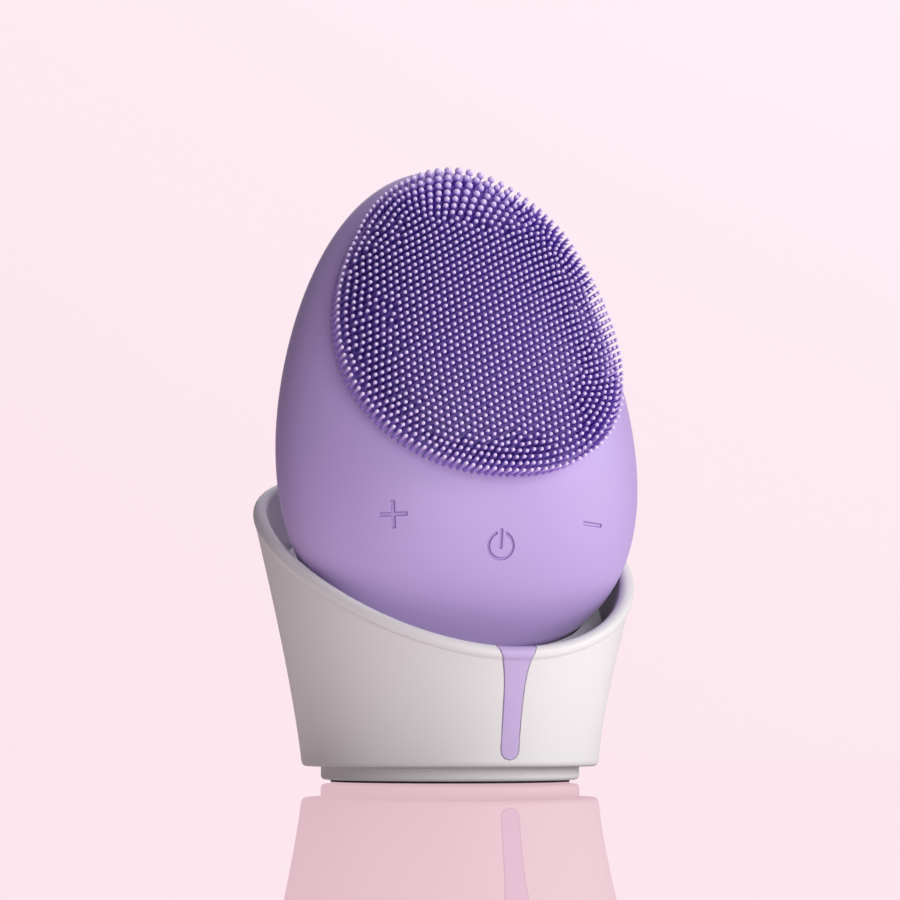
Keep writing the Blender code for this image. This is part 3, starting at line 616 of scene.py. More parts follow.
def skin_sides(cells):
    """Outer faces, inner faces and walls of a set of grid cells.

    A wall stands on each side of a cell whose neighbour isn't in the set.  The first and the
    last row have none on their pole's side.
    """
    count = ROWS * COLUMNS
    right = np.roll(POINT, -1, axis=1)
    a, b, c, d = POINT[:-1], right[:-1], right[1:], POINT[1:]
    outer = np.stack([a, b, c, d], axis=-1)[cells]
    inner = np.stack([a, d, c, b], axis=-1)[cells] + count
    row = np.arange(ROWS - 1)[:, None]
    walls = []
    edges = ((np.roll(cells, -1, axis=1), c, b), (np.roll(cells, 1, axis=1), a, d),
             (np.pad(cells, ((1, 0), (0, 0)))[:-1] | (row == 0), b, a),
             (np.pad(cells, ((0, 1), (0, 0)))[1:] | (row == ROWS - 2), d, c))
    for neighbour, start, end in edges:
        open_side = cells & ~neighbour
        start, end = start[open_side], end[open_side]
        walls.append(np.stack([start, end, end + count, start + count], axis=-1))
    return outer, inner, np.concatenate(walls)


def skin_piece(name, cells, poles=False):
    """A closed piece of the skin from a mask of grid cells, (rows - 1, columns).

    Walls are flat, and every other face takes the normals of the whole egg.
    """
    count = ROWS * COLUMNS
    outer, inner, walls = skin_sides(cells)
    faces = [outer, inner, walls]
    points = np.concatenate([skin_outside.reshape(-1, 3), skin_inside.reshape(-1, 3)])
    normals = np.concatenate([skin_normals.reshape(-1, 3), -smooth_normals.reshape(-1, 3)])
    if poles:
        up = np.array([0.0, 0.0, 1.0])
        ends = np.stack([-up, up])
        points = np.concatenate([points, egg_surface(ends, 0.0), egg_surface(ends, SKIN_THICKNESS)])
        normals = np.concatenate([normals, ends, -ends])
        for shift, tip, inward in ((0, 2 * count, False), (count, 2 * count + 2, True)):
            faces.append(fan_faces(POINT[0] + shift, tip, not inward))
            faces.append(fan_faces(POINT[-1] + shift, tip + 1, inward))
    faces = np.concatenate(faces)
    corner_normals = normals[faces]
    wall = slice(len(outer) + len(inner), len(outer) + len(inner) + len(walls))
    p = points[faces[wall]]
    corner_normals[wall] = unit(np.cross(p[:, 1] - p[:, 0], p[:, 2] - p[:, 1]))[:, None, :]
    used, compact = np.unique(faces, return_inverse=True)
    dents = np.zeros(len(points))
    dents[:count] = pressed.ravel()
    axes = np.stack([SIDE, THICK, LONG], axis=1)
    standing = np.stack([corner_normals @ axis for axis in axes], axis=-1)
    piece = new_piece(name, in_cup(points[used]), compact.reshape(faces.shape), lilac_silicone,
                      slot="lilac_silicone", normals=standing)
    point_values(piece, "pressed", dents[used])
    return piece


def in_range(low, high, lines):
    """Which cells start at a line from low up to, but not at, high, in degrees."""
    return (lines > low - 1e-6) & (lines < high - 1e-6)


PATCHES = {"plus": (-52, -18), "power": (-18, 18), "minus": (18, 52)}
PATCH_BOTTOM, PATCH_TOP = -56, -18.8
patch_rows = in_range(PATCH_BOTTOM, PATCH_TOP, skin_rows)[:-1, None]
patch_columns = in_range(PATCHES["plus"][0], PATCHES["minus"][1], skin_columns)[None, :]
skin = skin_piece("skin", ~(patch_rows & patch_columns), poles=True)
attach(skin, "brush")
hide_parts("silicone_sleeve")

# %% [markdown]
# ## The key patches
# A key's patch is slightly domed.  Each patch is made as a piece of its own and the key's solid
# is hidden.  For each, the depth of the highest point of its border under the key's middle is
# printed.

# %% The key patches
for name, (low, high) in PATCHES.items():
    cells = patch_rows & in_range(low, high, skin_columns)[None, :]
    patch = skin_piece(name + "_key_skin", cells)
    key_x, key_z, _ = KEYS[name]
    middle, _, _, outward = key_frame(key_x, key_z)
    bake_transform(patch)
    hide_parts(name + "_key")
    within = [np.roll(cells, shift, axis) for shift in (1, -1) for axis in (0, 1)]
    border = cells ^ np.all(within, axis=0)
    rise = ((skin_local[:-1][border] - middle) @ outward).max() / MM
    print(f"{name}: the highest border point lies {-rise:.2f} mm under the key's middle")

# %% [markdown]
# ## The base of the bristles
# The bristles grow from a thin plate of darker silicone, moulded on to the skin.  Towards its
# edge the plate's colour fades into the skin's.  Seen from the front its edge is made of two
# unlike half ovals.  It is built as a polar grid: rings that shrink from the edge to the
# middle, on top and underneath.

# %% The purple plate
PAD_CENTRE = 9.0 * MM
PAD_HALF_WIDTH = 28.2 * MM
PAD_UP, PAD_DOWN = 36.3 * MM, 26.7 * MM
PAD_POWER_UP, PAD_POWER_DOWN = 1.86, 2.15
PLATE_RISE = 0.12 * MM
PLATE_DEPTH = 0.5 * MM
PLATE_GROW = 0.1 * MM
PLATE_COLUMNS = 240


def pad_outline(angle, grow):
    """The pad's edge seen from the front: cosine and sine of the angle, each to its power."""
    up = np.sin(angle) > 0
    power = np.where(up, PAD_POWER_UP, PAD_POWER_DOWN)
    height = np.where(up, PAD_UP, PAD_DOWN) + grow
    c, s = np.abs(np.cos(angle)), np.abs(np.sin(angle))
    reach = (c ** power + s ** power) ** (-1 / power)
    x = (PAD_HALF_WIDTH + grow) * reach * np.cos(angle)
    return x, PAD_CENTRE + height * reach * np.sin(angle)


def make_pad_plate():
    """Rings that are shares of the outline, a hair above the skin and half a millimetre in it."""
    angle = np.linspace(0, 2 * math.pi, PLATE_COLUMNS, endpoint=False)
    edge_x, edge_z = pad_outline(angle, PLATE_GROW)
    share = np.concatenate([[1.0, 0.997, 0.990], np.linspace(0.97, 0.04, 34)])[:, None]
    x, z = share * edge_x, PAD_CENTRE + share * (edge_z - PAD_CENTRE)
    on_skin, normal = front_point(x, z), front_normal(x, z)
    rise = np.concatenate([[-0.05, 0.10], np.full(35, PLATE_RISE / MM)])[:, None, None] * MM
    top = on_skin + rise * normal
    under = on_skin - PLATE_DEPTH * normal
    middle = np.zeros(1), np.full(1, PAD_CENTRE)
    tips = front_point(*middle) + np.array([[PLATE_RISE], [-PLATE_DEPTH]]) * front_normal(*middle)
    points = np.concatenate([top.reshape(-1, 3), under.reshape(-1, 3), tips])
    plate = new_piece("bristle_base", in_cup(points), tray_faces(*top.shape[:2]), plate_silicone,
                      "brush", "purple_silicone", ["bristle_pad"])
    one_sheet = np.repeat(share.ravel(), PLATE_COLUMNS)
    point_values(plate, "edge_share", np.concatenate([one_sheet, one_sheet, [0.0, 0.0]]))


make_pad_plate()

# %% [markdown]
# ## Where the bristles stand
# On the real pad the bristles keep an even distance, follow the edge in rows, and are coarser
# at the very top.  The places start as rings along the edge and straight columns in the
# middle.  Then neighbours push each other apart for a while, as grains in a tray settle, and
# the two patterns flow into each other.

# %% Even places for the bristles
PITCH = 1.42 * MM
COARSE_PITCH = 0.70 * MM
COARSE_MIDDLE = (0.5 * MM, 43.5 * MM)
COARSE_REACH, COARSE_POWER = 10.8 * MM, 3.4
FLATTENED_DEPTH = 0.25
WIDENING = 4.5
RINGS = 7
RING_GAP = 0.87
EDGE_GAP = 0.3 * MM


def coarseness(x, z):
    """1 at the top of the pad and 0 a centimetre and a half away from it: a bell curve."""
    top = front_point(*map(np.array, COARSE_MIDDLE))
    distance = np.linalg.norm(front_point(x, z) - top, axis=-1)
    return np.exp(-(distance / COARSE_REACH) ** COARSE_POWER)


def flattened(x, z):
    """The surface with a quarter of its depth, in which the bristles are evenly spaced.

    The width is stretched by a hundredth for each millimetre to the left, so the rows are a
    little wider apart on the right.
    """
    point = front_point(x, z) * np.array([1.0, FLATTENED_DEPTH, 1.0])
    point[..., 0] -= WIDENING * point[..., 0] ** 2
    return point


def local_pitch(x, z):
    """Distance from a bristle to the next: the pitch, and more where they are coarse."""
    return PITCH + COARSE_PITCH * coarseness(x, z)


def inside_edge(angle, number):
    """The line that lies this many rows inside the edge."""
    pitch = local_pitch(*pad_outline(angle, -2 * MM))
    return pad_outline(angle, -(EDGE_GAP + RING_GAP * number * pitch))


def ring_places(number):
    """Evenly spaced points on the ring with this number, walked in steps of the local pitch."""
    angle = np.linspace(0, 2 * math.pi, 1441)
    x, z = inside_edge(angle, number)
    steps = np.linalg.norm(np.diff(flattened(x, z), axis=0), axis=-1) / local_pitch(x, z)[1:]
    walked = np.concatenate([[0.0], np.cumsum(steps)])
    count = int(round(walked[-1]))
    at = (np.arange(count) + 0.5 * (number % 2)) / count * walked[-1]
    return np.interp(at, walked, x), np.interp(at, walked, z)


def column_places():
    """Upright columns of points, every second one shifted by half a pitch."""
    i, j = np.meshgrid(np.arange(-26, 27), np.arange(-30, 31))
    x = 0.866 * PITCH * i
    z = PAD_CENTRE + PITCH * (j + 0.5 * (i % 2))
    half_height = np.where(z > PAD_CENTRE, PAD_UP, PAD_DOWN)
    angle = np.arctan2((z - PAD_CENTRE) / half_height, x / PAD_HALF_WIDTH)
    edge_x, edge_z = inside_edge(angle, RINGS - 0.35)
    inside = np.hypot(x, z - PAD_CENTRE) < np.hypot(edge_x, edge_z - PAD_CENTRE)
    return x[inside], z[inside]


# %% [markdown]
# Settling works on all bristles at once.  Every few rounds each bristle's nearest neighbours
# are looked up again, because that search costs the most, and the outermost ring stays put.

# %% Settling
ROUNDS = 130
NEIGHBOURS = 9
ROUNDS_PER_SEARCH = 6
SPREAD = 1.10
PUSH = 0.3
NEAREST = 0.05 * MM


def settle(x, z, fixed):
    """Each point moves away from neighbours that are nearer than the local pitch.

    The push is a third of the missing distance, along the line between the two.
    """
    for turn in range(ROUNDS):
        points = flattened(x, z)
        if turn % ROUNDS_PER_SEARCH == 0:
            square = (points ** 2).sum(axis=1)
            gaps = square[:, None] + square[None, :] - 2 * points @ points.T
            np.fill_diagonal(gaps, 1.0)
            near = np.argpartition(gaps, NEIGHBOURS, axis=1)[:, :NEIGHBOURS]
        away = points[:, None, :] - points[near]
        distance = np.linalg.norm(away, axis=-1)
        wanted = SPREAD * local_pitch(x, z)
        wanted = 0.5 * (wanted[:, None] + wanted[near])
        push = np.maximum(wanted - distance, 0) / np.maximum(distance, NEAREST) * PUSH
        move = (away * push[..., None]).sum(axis=1)
        move[fixed] = 0
        x, z = x + move[:, 0], z + move[:, 2]
    return x, z


rings = [ring_places(number) for number in range(RINGS)] + [column_places()]
start_x = np.concatenate([ring[0] for ring in rings])
start_z = np.concatenate([ring[1] for ring in rings])
outermost = np.arange(len(start_x)) < len(rings[0][0])
bristle_x, bristle_z = settle(start_x, start_z, outermost)
print(len(bristle_x), "bristles")

# %% [markdown]
# ## The bristles
# A bristle is a short tapered rod with a round tip.  The mould opens straight forward, so the
# bristles point nearly straight forward too and only fan out a little.  They grow longer
# towards the edge, which makes the brush flatter than the egg.  At the top they are stubby and
# follow the skin's own direction.  One template of a few dozen faces is multiplied by arrays of
# places, directions, radii and lengths.

# %% The bristle field
SIDES = 8
DOME = np.radians([0.0, 38.0, 68.0])
TIP_RADIUS, TIP_COARSER = 0.395, 0.40
ROOT_RADIUS, ROOT_COARSER = 0.36, 0.24
MIDDLE_LENGTH, EDGE_LONGER, TOP_LENGTH = 3.3, 1.3, 2.9
TOP_START, TOP_RUN = 28 * MM, 16 * MM
FAN, TOP_FAN = 0.2, 1.4
WOBBLE = 0.012
ROOT_DEPTH = 0.3 * MM
# How much lighter the outermost row starts: less painted shade at its roots.
EDGE_LESS_PAINTED_SHADE = 0.6


def bristle_shapes(x, z):
    """Length, tip radius, root radius and direction of the bristle at each place.

    The direction is straight forward plus a share of the skin's normal, and a little chance.
    """
    coarse = coarseness(x, z)
    tip_radius = (TIP_RADIUS + TIP_COARSER * coarse) * MM
    root_radius = (ROOT_RADIUS + ROOT_COARSER * coarse) * MM
    half_height = np.where(z > PAD_CENTRE, PAD_UP, PAD_DOWN)
    outward = np.hypot(x / PAD_HALF_WIDTH, (z - PAD_CENTRE) / half_height)
    top = smooth_step((z - TOP_START) / TOP_RUN)
    length = (MIDDLE_LENGTH + EDGE_LONGER * outward ** 2) * MM
    length += (TOP_LENGTH * MM - length) * top
    fan = FAN + TOP_FAN * top
    lean = unit(fan[:, None] * front_normal(x, z) + np.array([0.0, -1.0, 0.0]))
    lean = unit(lean + np.random.default_rng(7).normal(0.0, WOBBLE, lean.shape))
    return length, tip_radius, root_radius, lean


def make_bristles(name, x, z, outermost):
    """All bristles at once: rings of points round each axis, out from the skin to the tip."""
    length, tip_radius, root_radius, lean = bristle_shapes(x, z)
    first = unit(np.cross(lean, np.array([0.0, 0.0, 1.0])))
    second = np.cross(lean, first)
    straight = length - tip_radius
    heights = np.stack([0 * length - ROOT_DEPTH, straight - 0.55 * tip_radius,
                        *[straight + tip_radius * math.sin(turn) for turn in DOME]], axis=1)
    radii = np.stack([root_radius, 0.9 * root_radius,
                      *[tip_radius * math.cos(turn) for turn in DOME]], axis=1)
    around = np.linspace(0, 2 * math.pi, SIDES, endpoint=False)[:, None]
    circle = (np.cos(around) * first[:, None, None, :]
              + np.sin(around) * second[:, None, None, :])
    base = front_point(x, z)
    rods = (base[:, None, None, :] + heights[:, :, None, None] * lean[:, None, None, :]
            + radii[:, :, None, None] * circle)
    ends = np.stack([base - ROOT_DEPTH * lean, base + length[:, None] * lean], axis=1)
    points = np.concatenate([rods.reshape(len(x), -1, 3), ends], axis=1)
    share = np.repeat(np.clip(heights / length[:, None], 0, 1), SIDES, axis=1)
    share = np.concatenate([share, np.tile([0.0, 1.0], (len(x), 1))], axis=1)
    # The outermost row gets less of the painted shade at its roots.
    share[outermost] = EDGE_LESS_PAINTED_SHADE + (1 - EDGE_LESS_PAINTED_SHADE) * share[outermost]
    one = bar_faces(heights.shape[1], SIDES)
    faces = (one[None] + points.shape[1] * np.arange(len(x))[:, None, None]).reshape(-1, 4)
    piece = new_piece(name, in_cup(points.reshape(-1, 3)), faces, bristle_silicone, "brush",
                      "purple_silicone", ["bristle_field"])
    point_values(piece, "tip_share", share.ravel())


make_bristles("bristles", bristle_x, bristle_z, outermost)

# %% [markdown]
# ## The cup
# The cup flares from a round base to an oval rim that slopes down towards the front.  A round
# bead runs along the rim, and the wall tucks in a little under it, more at the front than at
# the back.  A lathe could not turn this shape, so its outline is a function of the angle round
# the cup and of the way along the profile.

# %% The cup's formula
BASE_RADIUS = 27.9 * MM
BASE_HEIGHT = 2.9 * MM
BASE_FILLET = 0.9 * MM
CUP_BORE = 24.8 * MM
LIP_RADIUS = 1.4 * MM
RIM_HALF_WIDTH, RIM_HALF_DEPTH = 36.6 * MM, 35.2 * MM
RIM_SHIFT = 3.2 * MM
RIM_HEIGHT, RIM_SLOPE, RIM_BOW = 44.9 * MM, 0.575, 4.0 * MM
FLARE_FRONT, FLARE_BACK = 1.5, 1.06
TUCK_TURN = math.radians(52)
TUCK_REACH = 8.5 * MM
FRONT = -math.pi / 2


def rim_height(y):
    """Height of the rim's crest: a sloping line that bows down, seen from the side."""
    return RIM_HEIGHT + RIM_SLOPE * y - RIM_BOW * (y / RIM_HALF_DEPTH) ** 2


def frontness(angle):
    """1 at the front of the cup, 0 at its back, a half at its sides."""
    return 0.5 - 0.5 * np.sin(angle)


def lip_centre(angle):
    """The line through the middle of the bead: the rim's oval, one bead radius in and down."""
    x = (RIM_HALF_WIDTH - LIP_RADIUS) * np.cos(angle)
    y = (RIM_HALF_DEPTH - LIP_RADIUS) * np.sin(angle) + RIM_SHIFT
    return x, y, rim_height(y) - LIP_RADIUS


def wall_point(angle, rise, inset):
    """From the base circle to the rim's oval, by the rise to a power.

    The power is larger at the front, so the wall flares later there.
    """
    lip_z = lip_centre(angle)[2]
    power = FLARE_BACK + (FLARE_FRONT - FLARE_BACK) * frontness(angle)
    share = np.maximum(rise, 0.0) ** power
    x = (BASE_RADIUS * (1 - share) + RIM_HALF_WIDTH * share) * np.cos(angle)
    y = (BASE_RADIUS * (1 - share) + RIM_HALF_DEPTH * share) * np.sin(angle)
    y = y + RIM_SHIFT * share
    z = BASE_HEIGHT + (lip_z - BASE_HEIGHT) * rise
    return np.stack([x - inset * np.cos(angle), y - inset * np.sin(angle), z + 0 * x], axis=-1)


def lip_point(angle, turn, radius):
    """The round bead: turn 0 faces out, a quarter turn up, a half turn in."""
    x, y, z = lip_centre(angle)
    out = radius * np.cos(turn)
    return np.stack([x + out * np.cos(angle), y + out * np.sin(angle),
                     z + radius * np.sin(turn)], axis=-1)


# %% [markdown]
# The wall would meet the bead at its widest line.  At the front of the real cup it meets it
# further under, so there the wall is drawn in over its last few millimetres.

# %% The tuck under the bead
def tuck_turn(angle):
    """How far round the bead's underside the wall meets it: most at the front, 0 at the back."""
    return -TUCK_TURN * smooth_step((frontness(angle) - 0.12) / 0.5)


def outer_wall(angle, way, depth=0.0):
    """The outer wall from the fillet to the bead, way from 0 to 1, pressed in by depth."""
    turn = tuck_turn(angle)
    lip_z = lip_centre(angle)[2]
    joint = (lip_z + LIP_RADIUS * np.sin(turn) - BASE_HEIGHT) / (lip_z - BASE_HEIGHT)
    low = BASE_FILLET / (lip_z - BASE_HEIGHT)
    rise = low + (joint - low) * way
    below = (joint - rise) * (lip_z - BASE_HEIGHT)
    flare = wall_point(angle, joint, 0.0)[..., :2] - lip_point(angle, turn, LIP_RADIUS)[..., :2]
    tuck = np.linalg.norm(flare, axis=-1) * (1 - smooth_step(below / TUCK_REACH))
    return wall_point(angle, rise, tuck + depth)


# %% [markdown]
# ## The groove for the inlay
# The lilac strip lies flush in a groove.  A distance formula says how far a point of the
# cup's front is from the strip's edge, and the cup is pressed in where the distance is small.
# The strip itself is a hair smaller, which leaves the thin dark line round it.

# %% Distance to the inlay's edge
INLAY_FOOT = 4.3 * MM
INLAY_HALF = 1.68 * MM
INLAY_FLARE, INLAY_REACH = 2.1 * MM, 3.4 * MM
INLAY_LAST_TURN = math.radians(125)
GROOVE_DEPTH = 0.5 * MM
GROOVE_GAP = 0.09 * MM
GROOVE_EDGE = 0.1 * MM
CREST = float(rim_height(lip_centre(np.array(FRONT))[1]))


def inlay_half_width(z):
    """Narrow below, and wider towards the rim by a share that dies away downwards."""
    return INLAY_HALF + INLAY_FLARE * np.exp(-np.maximum(CREST - z, 0) / INLAY_REACH)


def inlay_distance(points, past_crest):
    """Below zero inside the strip's outline, which is round at its lower end."""
    x, z = np.abs(points[..., 0]), points[..., 2]
    sides = x - np.where(past_crest > 0, inlay_half_width(np.array(CREST)), inlay_half_width(z))
    foot = np.hypot(x, z - INLAY_FOOT - INLAY_HALF) - INLAY_HALF
    flat = np.where(z < INLAY_FOOT + INLAY_HALF, foot, sides)
    return np.where(points[..., 1] > 0, 1.0, flat)


# %% [markdown]
# The cup's mesh is one grid that closes on itself: up the outside with the groove pressed in,
# over the bead, down the inside and back along the bottom.  Its columns are finer at the
# front, where the groove is.

# %% Rings of the cup
cup_angle = np.radians(grid_lines([-180, -99, -81, 180], [1.5, 0.2, 1.5])[:-1])
fillet = np.radians(np.linspace(-90, 0, 8))[:-1]
ways = grid_lines([0.0, 0.16, 1.0], [0.006, 0.016])
inner_ways = np.linspace(1.0, 0.02, 30)


def groove_share(distance):
    """1 in the groove and 0 outside it, by way of a narrow slope half way over the gap."""
    return smooth_step(0.5 - (distance - GROOVE_GAP) / GROOVE_EDGE)


def pressed_wall(way):
    """The outer wall at one height, pressed in by the groove's depth where the groove is."""
    plain = outer_wall(cup_angle, way)
    groove = groove_share(inlay_distance(plain, 0.0))
    return outer_wall(cup_angle, way, GROOVE_DEPTH * groove)


def pressed_lip(share):
    """The bead from where the wall meets it, over the crest, to its inner side."""
    turn = tuck_turn(cup_angle) + share * (math.pi - tuck_turn(cup_angle))
    plain = lip_point(cup_angle, turn, LIP_RADIUS)
    past = turn - math.pi / 2
    distance = np.maximum(inlay_distance(plain, past), (turn - INLAY_LAST_TURN) * LIP_RADIUS)
    return lip_point(cup_angle, turn, LIP_RADIUS - GROOVE_DEPTH * groove_share(distance))


def base_ring(turn):
    """The rounding at the cup's base: a quarter circle from the bottom to the wall."""
    ring = wall_point(cup_angle, 0.0, BASE_FILLET * (1 - math.cos(turn)))
    ring[:, 2] += BASE_FILLET * (1 + math.sin(turn))
    return ring


def wall_thickness(rise):
    """As thick as the bead under the rim, and four tenths of a millimetre more at the base."""
    return 2 * LIP_RADIUS + 0.4 * MM * (1 - rise)


def inner_ring(way):
    """The outer wall's formula, moved in by the wall's thickness."""
    return wall_point(cup_angle, way, wall_thickness(way))


def bore_ring(height):
    """A circle in the round opening of the cup's bottom."""
    return np.stack([CUP_BORE * np.cos(cup_angle), CUP_BORE * np.sin(cup_angle),
                     np.full(len(cup_angle), height)], axis=1)


# %% The cup
cup_rings = [base_ring(turn) for turn in fillet] + [pressed_wall(way) for way in ways]
cup_rings += [pressed_lip(share) for share in np.linspace(0, 1, 34)[1:]]
cup_rings += [inner_ring(way) for way in inner_ways[1:]]
cup_rings += [bore_ring(BASE_HEIGHT + height * MM) for height in (3.0, 0.1, 0.0)]
cup = new_piece("cup_wall", np.array(cup_rings),
                grid_faces(len(cup_rings), len(cup_angle), wrap_rows=True, wrap_columns=True),
                white_shell, "stand", "white_shell", ["cup_shell"])

# %% [markdown]
# ## The slot at the back
# A charging inlet needs a way through the wall.  A slot with round ends is cut with a Boolean
# that is applied at once, since the cutter itself is no part of the object.

# %% Cutting the slot
SLOT_HALF_WIDTH, SLOT_HALF_HEIGHT = 4.9 * MM, 2.0 * MM
SLOT_FROM, SLOT_TO = 22 * MM, 34 * MM
SLOT_POINTS = 12
CRISP = 40


def stadium(half_width, half_height, y):
    """A slot's outline in the plane of one y: two half circles joined by straight lines."""
    turn = np.concatenate([np.linspace(-0.5, 0.5, SLOT_POINTS), np.linspace(0.5, 1.5, SLOT_POINTS)])
    turn = turn * math.pi
    middle = np.repeat([1.0, -1.0], SLOT_POINTS) * (half_width - half_height)
    return np.stack([middle + half_height * np.cos(turn), np.full(2 * SLOT_POINTS, y),
                     half_height * np.sin(turn)], axis=-1)


def make_bar(name, rings, material, **place):
    """A closed solid from rings of the same length, with a fan to the middle of each end."""
    rings = np.asarray(rings)
    ends = rings[[0, -1]].mean(axis=1)
    points = np.concatenate([rings.reshape(-1, 3), ends])
    return new_piece(name, points, bar_faces(*rings.shape[:2]), material, **place)


def cut_away(piece, cutter):
    """Takes the cutter's shape out of the piece and removes the cutter."""
    modifier = piece.modifiers.new("slot", "BOOLEAN")
    modifier.operation = "DIFFERENCE"
    modifier.solver = "EXACT"
    modifier.object = cutter
    bpy.context.view_layer.update()
    finished = piece.evaluated_get(bpy.context.evaluated_depsgraph_get())
    result = bpy.data.meshes.new_from_object(finished)
    piece.modifiers.clear()
    piece.data = result
    bpy.data.objects.remove(cutter)
    sharpen(piece, CRISP)


socket_low, socket_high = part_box("usb_socket")
socket_middle = np.array((socket_low + socket_high) / 2)
slot_rings = [stadium(SLOT_HALF_WIDTH, SLOT_HALF_HEIGHT, y)
              + np.array([socket_middle[0], 0, socket_middle[2]]) for y in (SLOT_FROM, SLOT_TO)]
cut_away(cup, make_bar("slot_cutter", slot_rings, white_shell))
print("cup after the slot:", len(cup.data.polygons), "faces")

# %% [markdown]
# ## The inlay
# The strip follows the wall up and over the bead.  Its rows run from the round lower end to
# the inner side of the rim, its columns from edge to edge.  The outermost columns dip by a
# tenth of a millimetre, so the strip has softened edges.

# %% Rows of the strip
FRONT_ANGLE = np.array(FRONT)
WALL_TOP = lip_centre(FRONT_ANGLE)[2] + LIP_RADIUS * math.sin(float(tuck_turn(FRONT_ANGLE)))
STRIP_ACROSS = np.sin(np.linspace(-math.pi / 2, math.pi / 2, 33))
STRIP_DIP = 0.1 * MM * (1 - smooth_step((1 - np.abs(STRIP_ACROSS)) / 0.06)) ** 2
STRIP_UNDER = GROOVE_DEPTH - 0.08 * MM
ROUND_TOP = INLAY_FOOT + INLAY_HALF


def wall_row(z, depth):
    """A row of the strip on the cup's wall, at one height.

    Its half width is that of the round end or of the strip.  How far up the wall each point
    lies is found by halving, because the wall's height differs a little along the row.
    """
    inside = INLAY_HALF ** 2 - np.minimum(z - INLAY_FOOT - INLAY_HALF, 0) ** 2
    half = math.sqrt(inside) if z < ROUND_TOP else float(inlay_half_width(z))
    risen = ((z - BASE_HEIGHT) / (WALL_TOP - BASE_HEIGHT)) ** FLARE_FRONT
    angle = FRONT + half * STRIP_ACROSS / (BASE_RADIUS + (RIM_HALF_WIDTH - BASE_RADIUS) * risen)
    low, high = np.zeros(angle.shape), np.ones(angle.shape)
    for _ in range(30):
        way = (low + high) / 2
        lower = outer_wall(angle, way)[:, 2] < z
        low, high = np.where(lower, way, low), np.where(lower, high, way)
    return outer_wall(angle, way, depth)


def lip_row(share, depth):
    """A row on the bead, by its share of the way round.  Past the crest its width stays."""
    widest = inlay_half_width(np.array(CREST))
    angle = FRONT + STRIP_ACROSS * widest / RIM_HALF_WIDTH
    for _ in range(6):
        turn = tuck_turn(angle) + share * (INLAY_LAST_TURN - tuck_turn(angle))
        z = lip_point(angle, turn, LIP_RADIUS)[:, 2]
        width = widest if share > 0.5 else inlay_half_width(z)
        angle = FRONT + STRIP_ACROSS * width / RIM_HALF_WIDTH
    return lip_point(angle, turn, LIP_RADIUS - depth)


# %% The lilac strip
def make_inlay():
    """Two sheets of rows, one flush with the cup and one in the groove, joined all round."""
    round_part = INLAY_FOOT + INLAY_HALF * (1 - np.cos(np.radians(np.linspace(4, 90, 16))))
    heights = np.concatenate([round_part, np.linspace(round_part[-1], WALL_TOP, 60)[1:]])
    shares = np.linspace(0, 1, 22)[1:]
    top, under = (np.array([wall_row(z, depth) for z in heights]
                           + [lip_row(share, depth) for share in shares])
                  for depth in (STRIP_DIP, STRIP_UNDER))
    rows, columns = top.shape[:2]
    count = rows * columns
    number = np.arange(count).reshape(rows, columns)
    rim = np.concatenate([number[0], number[1:, -1], number[-1, -2::-1], number[-2:0:-1, 0]])
    ahead = np.roll(rim, -1)
    faces = np.concatenate([grid_faces(rows, columns),
                            grid_faces(rows, columns, offset=count)[:, ::-1],
                            np.stack([ahead, rim, rim + count, ahead + count], axis=-1)])
    strip = new_piece("inlay_strip", np.concatenate([top.reshape(-1, 3), under.reshape(-1, 3)]),
                      faces, lilac_inlay, "stand", "lilac_inlay", ["front_inlay"])
    sharpen(strip, 50)


make_inlay()

# %% [markdown]
# ## The deck inside the cup
# A sloping deck closes the cup a little under its rim, and the egg sits in a pocket of the
# deck.  The pocket is the egg's own formula half a millimetre larger, and its edge is found by
# halving: for each direction round the egg, where does its surface cross the deck?

# %% Where the deck meets the wall and the pocket
DECK_DROP = 9.0 * MM
DECK_THICKNESS = 2.0 * MM
DECK_GAP = 0.3 * MM
POCKET_GAP = 0.5 * MM
POCKET_WALL = 2.1 * MM
POCKET_ROUNDING = 0.9 * MM
LOWEST, HIGHEST = -0.98, 0.2


def deck_height(y):
    """The deck runs level with the rim, a fixed drop below it."""
    return rim_height(y) - LIP_RADIUS - DECK_DROP


def deck_edge(angle, drop):
    """Where the deck meets the cup's wall, found by trying the height again a few times."""
    rise = np.full(angle.shape, 0.8)
    for _ in range(14):
        point = wall_point(angle, rise, wall_thickness(rise) + DECK_GAP)
        height = deck_height(point[..., 1]) - drop - BASE_HEIGHT
        rise = height / (lip_centre(angle)[2] - BASE_HEIGHT)
    return point


def around_egg(angle, along, inset):
    """Points of the standing egg by their angle round its long axis and their way along it."""
    c = np.sqrt(1 - along ** 2)
    direction = np.stack([c * np.cos(angle), c * np.sin(angle), along + 0 * angle], axis=-1)
    return in_cup(egg_surface(direction, inset))


def pocket_edge(angle, inset, drop):
    """How far along the egg its surface crosses the deck, found by halving."""
    low, high = np.full(angle.shape, LOWEST), np.full(angle.shape, HIGHEST)
    for _ in range(40):
        along = (low + high) / 2
        point = around_egg(angle, along, inset)
        under = point[..., 2] < deck_height(point[..., 1]) - drop
        low, high = np.where(under, along, low), np.where(under, high, along)
    return along


